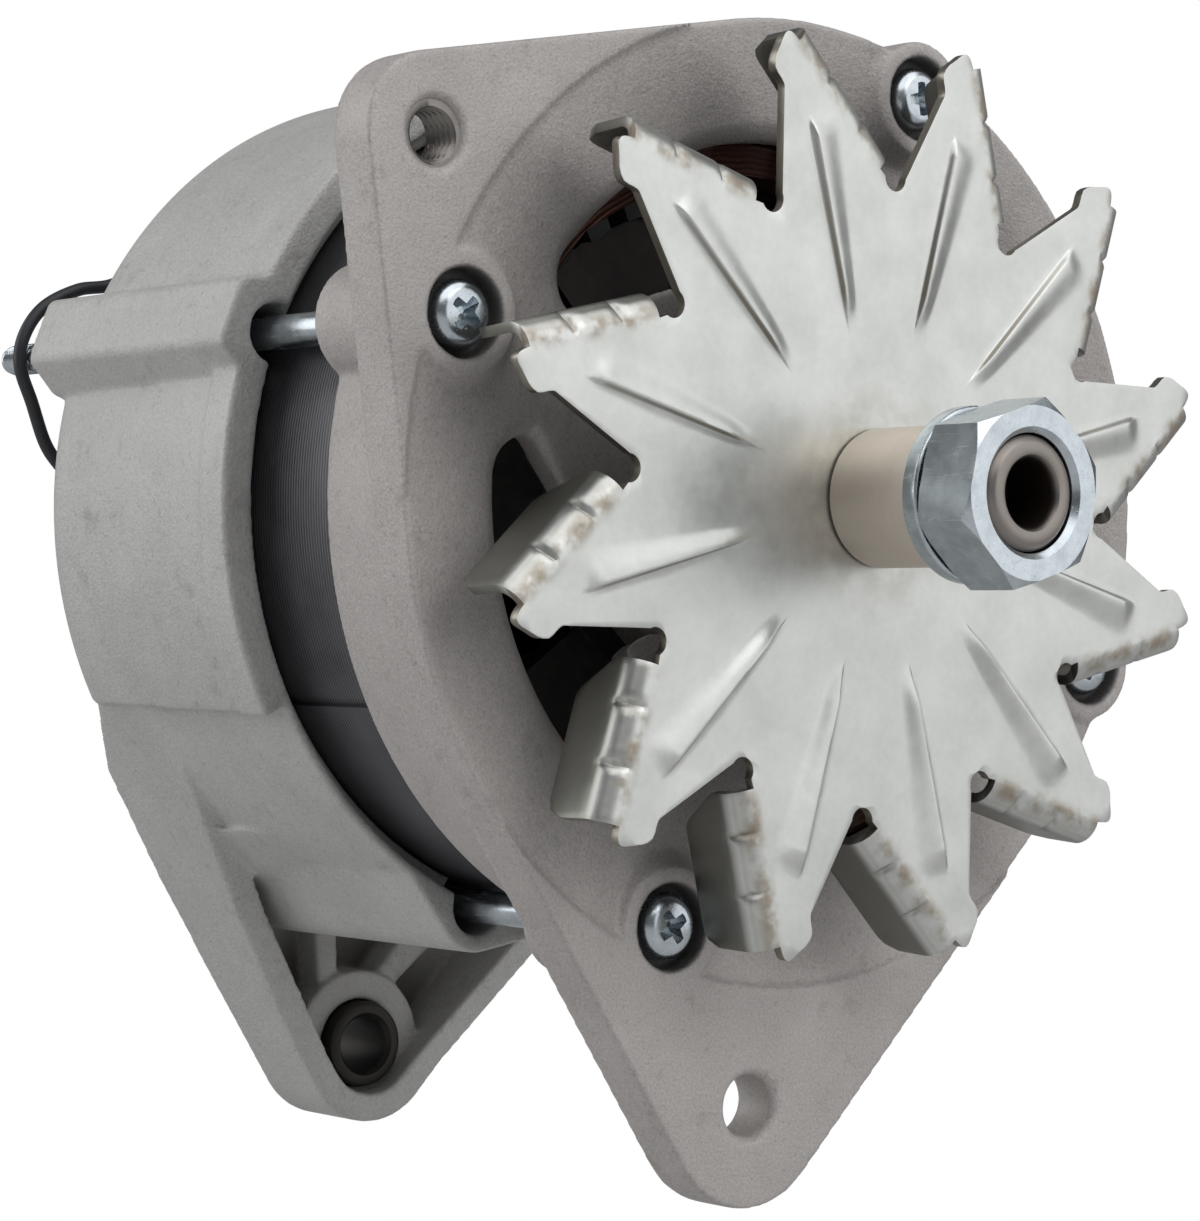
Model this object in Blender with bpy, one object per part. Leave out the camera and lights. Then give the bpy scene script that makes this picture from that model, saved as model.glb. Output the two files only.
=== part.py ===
"""Generator alternator head: two die-cast brackets clamped on a bare stator by four long bolts,
a claw-pole rotor on two ball bearings, and a twelve-blade pressed steel fan on the shaft's nose.

Sizes are millimetres. X is to the right seen from the drive end, Y runs along the shaft to the
rear and Z is up. Y = 0 is the drive-end bracket's front face, and the world's origin lies there
on the pivot bolt's axis. Shapes are drawn about the shaft's axis, PIVOT_DROP above it.
"""
import math

import bmesh
import bpy
from mathutils import Matrix, Vector

MM = 0.001
GAP = 0.3                      # working gap between pieces that seat on each other
ROUND_STEPS = 48               # faces round the castings

# Bearings; all places along the shaft follow from the front one
FRONT_BEARING = {"bore": 8.5, "outer": 20.0, "width": 12.0, "front": 6.5, "ball": 2.5, "balls": 7}
POLE_FRONT = FRONT_BEARING["front"] + FRONT_BEARING["width"] + 5.5
POLE_REAR = POLE_FRONT + 30.0

# Stator
STATOR_RADIUS = 62.5
STATOR_DEPTH = 17.9            # of its iron, from bore to outside
STATOR_BORE_RADIUS = STATOR_RADIUS - STATOR_DEPTH
STATOR_FRONT = POLE_FRONT - 4.0
STATOR_LENGTH = 36.0
SLOTS = 36
SLOT_DEPTH = 11.5
SLOT_WIDTH = 3.6
OVERHANG = 9.0

# Long bolts, just outside the stator
ROD_RADIUS = 2.5
ROD_CLEARANCE = 0.82           # from the stator's surface
BOLT_CIRCLE = STATOR_RADIUS + ROD_CLEARANCE + ROD_RADIUS
BOLT_ANGLES = (164.5, 74.5, -15.5, -105.5)
HEAD_RADIUS = 4.85
HEAD_HEIGHT = 3.7
COUNTERBORE_RADIUS = 6.2
COUNTERBORE_DEPTH = 3.6
NUT_M5_FLATS = 8.0
NUT_M5_HEIGHT = 4.0

# Drive-end bracket
FLANGE = 8.2                   # its round plate's edge outside the stator
CUP_WALL = 5.1
BODY_RADIUS = STATOR_RADIUS + FLANGE
PIVOT_DROP = BODY_RADIUS + 17.75   # from the shaft down to the pivot bolt
EAR_CIRCLE = BODY_RADIUS + 11.3
EAR_ANGLE = 150.0
EAR_RADIUS = 11.3
EAR_TAPPED_RADIUS = 4.05
PLATE = 8.4                    # front plate, ear and foot
FOOT_RADIUS = 14.8
PIVOT_HOLE_RADIUS = 4.5
CUP_REAR = STATOR_FRONT + 4.3
CUP_RADIUS = STATOR_RADIUS + CUP_WALL
CUP_DRAFT = 2.2
BOLT_BOSS_RADIUS = 8.7
DISH_MARGIN = 0.5              # the dish runs out past the round body, and leaves a step at ear and foot
DISH_EDGE = 0.6
DISH_DEPTH = 3.0
WINDOW_OUTER = STATOR_RADIUS - 9.5
WINDOW_INNER = 30.5
WINDOW_CORNER = 6.0
SPOKE_WIDTH = 17.0
HUB_RADIUS = 28.0

# Slip-ring-end bracket
RIM_FRONT = STATOR_FRONT + STATOR_LENGTH - 10.0
RIM_RADIUS = STATOR_RADIUS + FLANGE
RIM_LENGTH = 6.6
RIM_BORE_RADIUS = STATOR_RADIUS + 2.9
DRUM_RADIUS = STATOR_RADIUS + 7.5
DRUM_REAR = RIM_FRONT + 55.3
BOLT_LENGTH = DRUM_REAR + 18.7
DRUM_CORNER = 5.5
DRUM_WALL = 4.6
END_WALL = 4.2
SADDLE_RADIUS = STATOR_RADIUS + 4.5
SADDLE_ANGLES = (-147.0, -33.0)
ROD_PASSAGE_RADIUS = 4.5
RIDGE_RADIUS = BOLT_CIRCLE + ROD_PASSAGE_RADIUS + 4.28
RIDGE_HALF_WIDTH = 8.3
VENTS = (-58.0, -34.0, -10.0, 14.0, 38.0)
VENT_INNER = 27.0
VENT_OUTER = DRUM_RADIUS - 14.0
VENT_WIDTH = 9.0

# Rear foot
REAR_FOOT_RADIUS = 12.6
REAR_FOOT_BACK = DRUM_REAR + 9.0
REAR_FOOT_FRONT = DRUM_REAR - 6.7
REAR_FOOT_WALL = 4.6
REAR_FOOT_SKIN = 5.0
REAR_BOSS_RADIUS = 12.1
REAR_BOSS_FRONT = DRUM_REAR - 2.3
SADDLE_BOTTOM = -SADDLE_RADIUS - 2.0
SADDLE_DRAFT = 2.3             # how far the drum's underside widens towards the foot
BUSH_RADIUS = 7.0
BUSH_FRONT = REAR_BOSS_FRONT - 2.2
BUSH_REAR = REAR_FOOT_BACK + 1.7

# Rotor
NOSE_RADIUS = 8.0              # M16 thread
NOSE_END = -47.3
NOSE_SOCKET_RADIUS = 4.9
SHAFT_RADIUS = 8.5
CORE_SEAT_RADIUS = 10.0
TAIL_RADIUS = 8.0
AIR_GAP = 0.5
POLE_RADIUS = STATOR_BORE_RADIUS - AIR_GAP
POLE_DISC_RADIUS = POLE_RADIUS - 14.1
FINGER_ROOT = 10.6             # thickness of a claw pole's finger where it leaves the disc
FINGER_TIP = 4.1
POLE_DISC = 8.0
FINGERS = 6
CORE_RADIUS = 16.0

# Rear bearing and both races
REAR_BEARING = {"bore": 6.0, "outer": 16.0, "width": 10.0, "front": DRUM_REAR - 13.3, "ball": 2.0, "balls": 7}
RACE_LIP = 0.9                 # from the ball circle to a race's lip, over the ball's radius
RETAINER = 2.0
RETAINER_RADIUS = 27.4
RETAINER_SCREW_CIRCLE = 24.1
RETAINER_SCREW_RADIUS = 1.9

# Slip rings and brushes
RING_RADIUS = 14.0
RING_WALL = 2.2
RING_WIDTH = 6.0
RING_CENTRES = (POLE_REAR + 15.0, POLE_REAR + 25.0)
BRUSH = (7.6, 5.0, 11.0)
HOLDER_WALL = 2.0
NECK = (20.0, 22.4, 34.0)      # width, lowest and highest Z of the holder's neck

# Fan and the nose's stack
FAN_FRONT = -16.7
FAN_SHEET = 1.5
FAN_BLADES = 12
FAN_FIRST_RIB = 140.0
FAN_BORE_RADIUS = 8.8
FAN_COIN = 0.25                # the bore's edge is coined back from the face that the pulley bears on
FAN_ROOT_RADIUS = 45.9
FAN_ROOT_LEAD = 12.3           # degrees from a rib to the notch on its left
FAN_RIB_START = 25.8
FAN_RIB_END = 54.5
FAN_RIB_HEIGHT = 1.1
FAN_RIB_WIDTHS = (1.0, 2.8)       # half, at the hub's end and at the blade's
FAN_BLADE_DEPTH = 12.5
FAN_BEND = 2.5
SLEEVE_RADIUS = 10.0
SLEEVE_LENGTH = 17.0
WASHER_RADIUS = 12.4
WASHER = 3.2
NUT_FLATS = 23.6
NUT_HEIGHT = 10.0
NUT_TURN = 83.1
FAN_SPACER_RADIUS = 12.5

# Rectifier, output stud, capacitor and its lead
PLATE_INNER = 26.5
PLATE_OUTER = DRUM_RADIUS - 13.0
PLATE_THICK = 3.0
PLUS_FRONT = DRUM_REAR - 19.3
MINUS_FRONT = DRUM_REAR - 9.8
POST_RADIUS = 3.2
POST_CIRCLE = PLATE_OUTER - 11.0
POST_ANGLES = (-22.0, 26.0)     # between the vents, where the negative plate stands on the end wall
DIODE_RADIUS = 6.35
DIODE_CIRCLE = PLATE_OUTER - 15.0
DIODE_HEIGHT = 8.0
STUD = (11.0 - PLATE_OUTER, -4.5)
STUD_RADIUS = 3.0
STUD_END = DRUM_REAR + 18.7
CAPACITOR_X = -33.0
STRAP = 1.4
CAPACITOR_RADIUS = 7.5
CAPACITOR_Z = (12.0, 36.0)
LEAD_RADIUS = 1.05


def clear_scene():
    for old in list(bpy.data.objects):
        bpy.data.objects.remove(old, do_unlink=True)


def material(name, colour, roughness, metallic):
    made = bpy.data.materials.new(name)
    made.use_nodes = True
    shader = made.node_tree.nodes["Principled BSDF"]
    shader.inputs["Base Color"].default_value = (*colour, 1.0)
    shader.inputs["Roughness"].default_value = roughness
    shader.inputs["Metallic"].default_value = metallic
    return made


def at(angle, radius):
    """The X and Z of a point at an angle in degrees about the shaft."""
    turn = math.radians(angle)
    return radius * math.cos(turn), radius * math.sin(turn)


def pivot():
    return 0.0, -PIVOT_DROP


def ear_hole():
    return at(EAR_ANGLE, EAR_CIRCLE)


class Piece:
    """One named object whose mesh is drawn in millimetres about the shaft's axis."""

    def __init__(self, name, mesh, finish=None, origin=(0.0, 0.0, 0.0), smooth=None):
        data = bpy.data.meshes.new(name)
        bmesh.ops.recalc_face_normals(mesh, faces=mesh.faces)
        bmesh.ops.translate(mesh, verts=mesh.verts, vec=-Vector(origin))
        bmesh.ops.scale(mesh, verts=mesh.verts, vec=(MM, MM, MM))
        mesh.to_mesh(data)
        mesh.free()
        self.object = bpy.data.objects.new(name, data)
        bpy.context.collection.objects.link(self.object)
        x, y, z = origin
        self.object.location = (x * MM, y * MM, (z + PIVOT_DROP) * MM)
        if finish is None:
            self.object.hide_render = True
            self.object.display_type = "WIRE"
        else:
            data.materials.append(finish)
        if smooth is not None:
            data.shade_smooth()
            data.set_sharp_from_angle(angle=math.radians(smooth))

    def combine(self, other, operation):
        step = self.object.modifiers.new(operation.lower(), "BOOLEAN")
        step.operation = operation
        step.solver = "EXACT"
        step.object = other.object
        weld = self.object.modifiers.new("weld", "WELD")
        weld.merge_threshold = 0.002 * MM
        return self

    def cut(self, *others):
        for other in others:
            self.combine(other, "DIFFERENCE")
        return self

    def add(self, *others):
        for other in others:
            self.combine(other, "UNION")
        return self

    def keep(self, other):
        return self.combine(other, "INTERSECT")


def ring_of(mesh, points):
    return [mesh.verts.new(point) for point in points]


def loft(mesh, sections):
    """Skins equal rings of points and caps the first and the last."""
    rings = [ring_of(mesh, points) for points in sections]
    for one, two in zip(rings, rings[1:]):
        for a in range(len(one)):
            b = (a + 1) % len(one)
            mesh.faces.new((one[a], one[b], two[b], two[a]))
    mesh.faces.new(rings[0])
    mesh.faces.new(list(reversed(rings[-1])))
    return mesh


def lathe(profile, steps=48, centre=(0.0, 0.0), mesh=None, ripple=0.0):
    """Turns a closed outline of (radius, y) about an axis along Y."""
    mesh = mesh or bmesh.new()
    cx, cz = centre
    columns = []
    for step in range(steps):
        turn = 2 * math.pi * step / steps
        swell = 1.0 + (ripple if step % 2 else 0.0)
        columns.append((math.cos(turn), math.sin(turn), swell))
    rows = []
    for radius, y in profile:
        if radius < 1e-9:
            rows.append([mesh.verts.new((cx, y, cz))] * steps)
        else:
            rows.append([
                mesh.verts.new((cx + radius * s * c, y, cz + radius * s * n))
                for c, n, s in columns
            ])
    for one, two in zip(rows, rows[1:] + rows[:1]):
        for a in range(steps):
            b = (a + 1) % steps
            corners = []
            for vert in (one[a], one[b], two[b], two[a]):
                if vert not in corners:
                    corners.append(vert)
            if len(corners) > 2:
                mesh.faces.new(corners)
    return mesh


def rod(radius, front, rear, centre=(0.0, 0.0), steps=24, mesh=None, chamfer=0.0):
    profile = [(0.0, front), (radius - chamfer, front)]
    if chamfer:
        profile += [(radius, front + chamfer), (radius, rear - chamfer)]
    profile += [(radius - chamfer, rear), (0.0, rear)]
    return lathe(profile, steps, centre, mesh)


def tube(inner, outer, front, rear, steps=48, centre=(0.0, 0.0), chamfer=0.0):
    profile = [(inner, front), (outer - chamfer, front)]
    if chamfer:
        profile += [(outer, front + chamfer), (outer, rear - chamfer)]
    profile += [(outer - chamfer, rear), (inner, rear)]
    return lathe(profile, steps, centre)


def prism(outline, front, rear, mesh=None):
    """Extrudes an outline of (x, z) along Y."""
    mesh = mesh or bmesh.new()
    return loft(mesh, [[(x, y, z) for x, z in outline] for y in (front, rear)])


def box(low, high, mesh=None):
    outline = [(low[0], low[2]), (high[0], low[2]), (high[0], high[2]), (low[0], high[2])]
    return prism(outline, low[1], high[1], mesh)


def hull(circles, front, rear, steps=48):
    """The solid that a belt round these circles of (x, z, radius) would enclose."""
    mesh = bmesh.new()
    for x, z, radius in circles:
        for step in range(steps):
            dx, dz = at(360.0 * step / steps, radius)
            mesh.verts.new((x + dx, front, z + dz))
            mesh.verts.new((x + dx, rear, z + dz))
    made = bmesh.ops.convex_hull(mesh, input=mesh.verts)
    loose = [v for v in made["geom_interior"] + made["geom_unused"] if isinstance(v, bmesh.types.BMVert)]
    bmesh.ops.delete(mesh, geom=list(set(loose)), context="VERTS")
    bmesh.ops.dissolve_limit(mesh, angle_limit=0.01, verts=mesh.verts, edges=mesh.edges)
    return mesh


def polygon(corners, flats, turn=0.0, centre=(0.0, 0.0)):
    """A regular outline of (x, z) by its width across flats."""
    radius = flats / 2 / math.cos(math.pi / corners)
    outline = []
    for corner in range(corners):
        dx, dz = at(turn + 360.0 * corner / corners, radius)
        outline.append((centre[0] + dx, centre[1] + dz))
    return outline


def sector(inner, outer, start, end, corner=0.0, steps=5):
    """A ring's sector of (x, z), its corners clipped by a length along the arcs."""
    outline = []
    trim_outer = math.degrees(corner / outer)
    trim_inner = math.degrees(corner / inner)
    for step in range(steps + 1):
        angle = start + trim_outer + (end - start - 2 * trim_outer) * step / steps
        outline.append(at(angle, outer))
    if corner:
        outline.append(at(end, outer - corner))
        outline.append(at(end, inner + corner))
    for step in range(steps + 1):
        angle = end - trim_inner - (end - start - 2 * trim_inner) * step / steps
        outline.append(at(angle, inner))
    if corner:
        outline.append(at(start, inner + corner))
        outline.append(at(start, outer - corner))
    return outline


def turned(outline, angle):
    """An outline drawn for a bolt at angle 0, turned about the shaft."""
    c, s = math.cos(math.radians(angle)), math.sin(math.radians(angle))
    return [(x * c - z * s, x * s + z * c) for x, z in outline]


def hex_nut(name, flats, height, bore, front, centre=(0.0, 0.0), turn=0.0, chamfer=0.0, finish=None):
    """A hexagon nut; a chamfered one is a hexagon kept inside a turned blank."""
    rear = front + height
    nut = Piece(name, prism(polygon(6, flats, turn, centre), front, rear), finish, smooth=30)
    if not chamfer:
        return nut.cut(Piece(name + "_bore", rod(bore, front - 1.0, rear + 1.0, centre, 12)))
    reach = flats / math.sqrt(3) + 0.05
    drop = chamfer * 0.58
    blank = Piece(name + "_blank", lathe(
        [(bore, front - 0.01), (reach - chamfer, front - 0.01), (reach, front + drop),
         (reach, rear - drop), (reach - chamfer, rear + 0.01), (bore, rear + 0.01)], 36, centre))
    return nut.keep(blank)


clear_scene()

CAST_FRONT = material("cast_aluminium_front", (0.42, 0.385, 0.375), 0.62, 0.55)
CAST_REAR = material("cast_aluminium_rear", (0.47, 0.46, 0.445), 0.62, 0.55)
LAMINATION = material("stator_laminations", (0.055, 0.055, 0.06), 0.5, 0.6)
COPPER = material("varnished_copper", (0.33, 0.075, 0.03), 0.4, 0.5)
STEEL = material("bright_steel", (0.55, 0.55, 0.56), 0.3, 1.0)
ZINC = material("blue_zinc", (0.62, 0.66, 0.7), 0.2, 1.0)
FAN_ZINC = material("fan_zinc", (0.62, 0.62, 0.6), 0.38, 0.9)
SLEEVE_STEEL = material("sleeve_steel", (0.66, 0.62, 0.57), 0.35, 0.85)
DARK_STEEL = material("bush_steel", (0.11, 0.105, 0.1), 0.45, 0.8)
POLE_IRON = material("pole_iron", (0.16, 0.15, 0.15), 0.5, 0.8)
PLASTIC = material("black_moulding", (0.02, 0.02, 0.022), 0.5, 0.0)
CARBON = material("brush_carbon", (0.05, 0.05, 0.05), 0.7, 0.1)
BRONZE = material("slip_ring_copper", (0.6, 0.3, 0.15), 0.3, 1.0)
RUBBER = material("lead_sleeve", (0.012, 0.014, 0.018), 0.45, 0.0)

BOLTS = [at(angle, BOLT_CIRCLE) for angle in BOLT_ANGLES]
STATOR_REAR = STATOR_FRONT + STATOR_LENGTH


def joined(shapes):
    """Separate shapes drawn into one hidden tool."""
    mesh = bmesh.new()
    for draw in shapes:
        draw(mesh)
    return mesh


def bolt_holes(radius, front, rear, name, steps=24):
    return Piece(name, joined([
        lambda mesh, c=centre: rod(radius, front, rear, c, steps, mesh) for centre in BOLTS]))


# Drive-end bracket


def drive_end_bracket():
    circles = [(0.0, 0.0, BODY_RADIUS), (*pivot(), FOOT_RADIUS), (*ear_hole(), EAR_RADIUS)]
    bracket = Piece("drive_end_bracket", hull(circles, 0.0, PLATE), CAST_FRONT, smooth=35)
    cup_root = CUP_RADIUS + CUP_DRAFT
    cup = Piece("cup_blank", lathe(
        [(0.0, 1.0), (cup_root, 1.0), (cup_root, PLATE), (CUP_RADIUS, CUP_REAR), (0.0, CUP_REAR)],
        ROUND_STEPS))
    bosses = bolt_holes(BOLT_BOSS_RADIUS, 0.0, CUP_REAR, "bolt_boss_blanks", 16)
    bracket.add(cup, bosses)
    register = STATOR_RADIUS + GAP
    cavity = Piece("front_cavity", lathe(
        [(0.0, PLATE), (register - 2.2, PLATE), (register - 2.2, STATOR_FRONT - GAP),
         (register, STATOR_FRONT - GAP), (register, CUP_REAR + 1.0), (0.0, CUP_REAR + 1.0)], ROUND_STEPS))
    bracket.cut(cavity)
    hub = Piece("hub_blank",
                rod(HUB_RADIUS, 1.0, FRONT_BEARING["front"] + FRONT_BEARING["width"], steps=32))
    bracket.add(hub)
    dish_radius = BODY_RADIUS + DISH_MARGIN
    dish = Piece("dish_tool", lathe(
        [(0.0, -1.0), (dish_radius, -1.0), (dish_radius, DISH_EDGE), (WINDOW_OUTER + 1.0, DISH_DEPTH),
         (0.0, DISH_DEPTH)], ROUND_STEPS))
    pads = bmesh.new()
    for centre in BOLTS:
        lathe([(0.0, -2.0), (BOLT_BOSS_RADIUS, -2.0), (BOLT_BOSS_RADIUS, 0.2),
               (BOLT_BOSS_RADIUS + DISH_DEPTH, DISH_DEPTH + 1.0), (0.0, DISH_DEPTH + 1.0)], 20, centre,
              pads)
    dish.cut(Piece("bolt_pads", pads))
    windows = bmesh.new()
    mean = (WINDOW_OUTER + WINDOW_INNER) / 2
    half = math.degrees(SPOKE_WIDTH / 2 / mean)
    corner = min(WINDOW_CORNER, 0.4 * (WINDOW_OUTER - WINDOW_INNER))
    for angle in BOLT_ANGLES:
        start, end = angle + half, angle + 90.0 - half
        rings = []
        for y, spread in ((-1.5, 1.9), (DISH_DEPTH + 0.1, 1.9), (DISH_DEPTH + 2.0, 0.0),
                          (PLATE + 1.0, 0.0)):
            more = math.degrees(spread / mean)
            outline = sector(WINDOW_INNER - spread, WINDOW_OUTER + spread, start - more, end + more,
                             corner + spread)
            rings.append([(x, y, z) for x, z in outline])
        loft(windows, rings)
    pocket_rear = FRONT_BEARING["front"] + FRONT_BEARING["width"] + 1.0
    pocket = Piece("bearing_pocket", lathe(
        [(0.0, -1.0), (FAN_SPACER_RADIUS + 1.5, -1.0),
         (FAN_SPACER_RADIUS + 1.5, FRONT_BEARING["front"] - GAP),
         (FRONT_BEARING["outer"] + GAP, FRONT_BEARING["front"] - GAP),
         (FRONT_BEARING["outer"] + GAP, pocket_rear),
         (0.0, pocket_rear)], 32))
    holes = bmesh.new()
    for centre in BOLTS:
        clearance = ROD_RADIUS + GAP
        lathe([(0.0, -1.0), (COUNTERBORE_RADIUS, -1.0), (COUNTERBORE_RADIUS, COUNTERBORE_DEPTH),
               (clearance, COUNTERBORE_DEPTH), (clearance, CUP_REAR + 1.0), (0.0, CUP_REAR + 1.0)], 20,
              centre, holes)
    for centre, radius in ((pivot(), PIVOT_HOLE_RADIUS), (ear_hole(), EAR_TAPPED_RADIUS)):
        lathe([(0.0, -1.0), (radius + 1.8, -1.0), (radius, 0.8), (radius, PLATE - 0.6),
               (radius + 1.6, PLATE + 1.0),
               (0.0, PLATE + 1.0)], 24, centre, holes)
    for angle in retainer_angles():
        rod(RETAINER_SCREW_RADIUS + GAP, 9.0, pocket_rear, at(angle, RETAINER_SCREW_CIRCLE), 8, holes)
    bracket.cut(dish, Piece("window_tools", windows), pocket, Piece("front_holes", holes))
    return bracket


def retainer_angles():
    return [BOLT_ANGLES[0] + 120.0 * screw for screw in range(3)]


# Slip-ring-end bracket


def rear_foot_circles(inset):
    """The rear foot's outline, tangent to the saddle on both sides."""
    tangent = math.degrees(math.acos((SADDLE_RADIUS - REAR_FOOT_RADIUS) / PIVOT_DROP))
    circles = [(*pivot(), REAR_FOOT_RADIUS - inset)]
    for side in (-1.0, 1.0):
        x, z = at(-90.0 + side * (tangent + 1.0), SADDLE_RADIUS - 6.0)
        circles.append((x, z, 6.0 - inset))
    return circles


def yz_prism(outline, left, right):
    mesh = bmesh.new()
    return loft(mesh, [[(x, y, z) for y, z in outline] for x in (left, right)])


def rear_foot():
    """A triangular foot: two flanks and a back skin, with a bush boss and two webs in its pocket."""
    front, back = REAR_FOOT_FRONT, REAR_FOOT_BACK
    foot = Piece("rear_foot_blank", hull(rear_foot_circles(0.0), front - 20.0, back, 40))
    high, crease, knee, low = (-share * PIVOT_DROP for share in (0.44, 0.6, 0.77, 1.02))
    deep = front - 21.0
    face = Piece("rear_foot_face", yz_prism(
        [(deep, high), (front - 14.0, high), (front - 9.3, crease), (front - 4.1, knee), (front, low),
         (front, low - 40.0), (deep, low - 40.0)], -90.0, 90.0))
    shoulder = Piece("rear_foot_shoulder", yz_prism(
        [(back + 1.0, high + 12.0), (DRUM_REAR, high + 12.0), (DRUM_REAR, high),
         (back - 2.8, crease + 6.0),
         (back - 0.7, knee + 6.0), (back, low + 10.0), (back + 1.0, low + 10.0)], -90.0, 90.0))
    pocket = Piece("rear_foot_pocket", hull(
        rear_foot_circles(REAR_FOOT_WALL), deep, back - REAR_FOOT_SKIN, 32))
    foot.cut(face, shoulder, pocket)
    saddle_end = SADDLE_RADIUS + SADDLE_DRAFT
    saddle = Piece("saddle_blank", lathe(
        [(0.0, RIM_FRONT + 16.0), (SADDLE_RADIUS - 1.0, RIM_FRONT + 16.0), (saddle_end, front),
         (saddle_end, back - 0.5),
         (0.0, back - 0.5)], ROUND_STEPS))
    saddle.keep(Piece("saddle_bounds", hull(rear_foot_circles(1.0), RIM_FRONT + 15.0, back, 32)))
    under = Piece("saddle_skin",
                  box((-60.0, RIM_FRONT + 10.0, -2.0 * SADDLE_RADIUS), (60.0, back + 1.0, high - 16.0)))
    saddle.keep(under)
    boss = Piece("rear_foot_boss", rod(REAR_BOSS_RADIUS, REAR_BOSS_FRONT, back, pivot(), 28))
    webs = bmesh.new()
    web_front = REAR_BOSS_FRONT + 1.0
    root = REAR_BOSS_RADIUS - PIVOT_DROP - 3.0
    top = SADDLE_BOTTOM + 2.0
    for left, right, lean, spread in ((-8.3, -4.2, -2.4, 0.7), (1.0, 6.3, 9.2, 3.5)):
        prism([(left, root), (right, root), (right + lean + spread, top), (left + lean, top)], web_front,
              back - 1.0, webs)
    return [foot, saddle, boss, Piece("rear_foot_webs", webs)]


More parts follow.
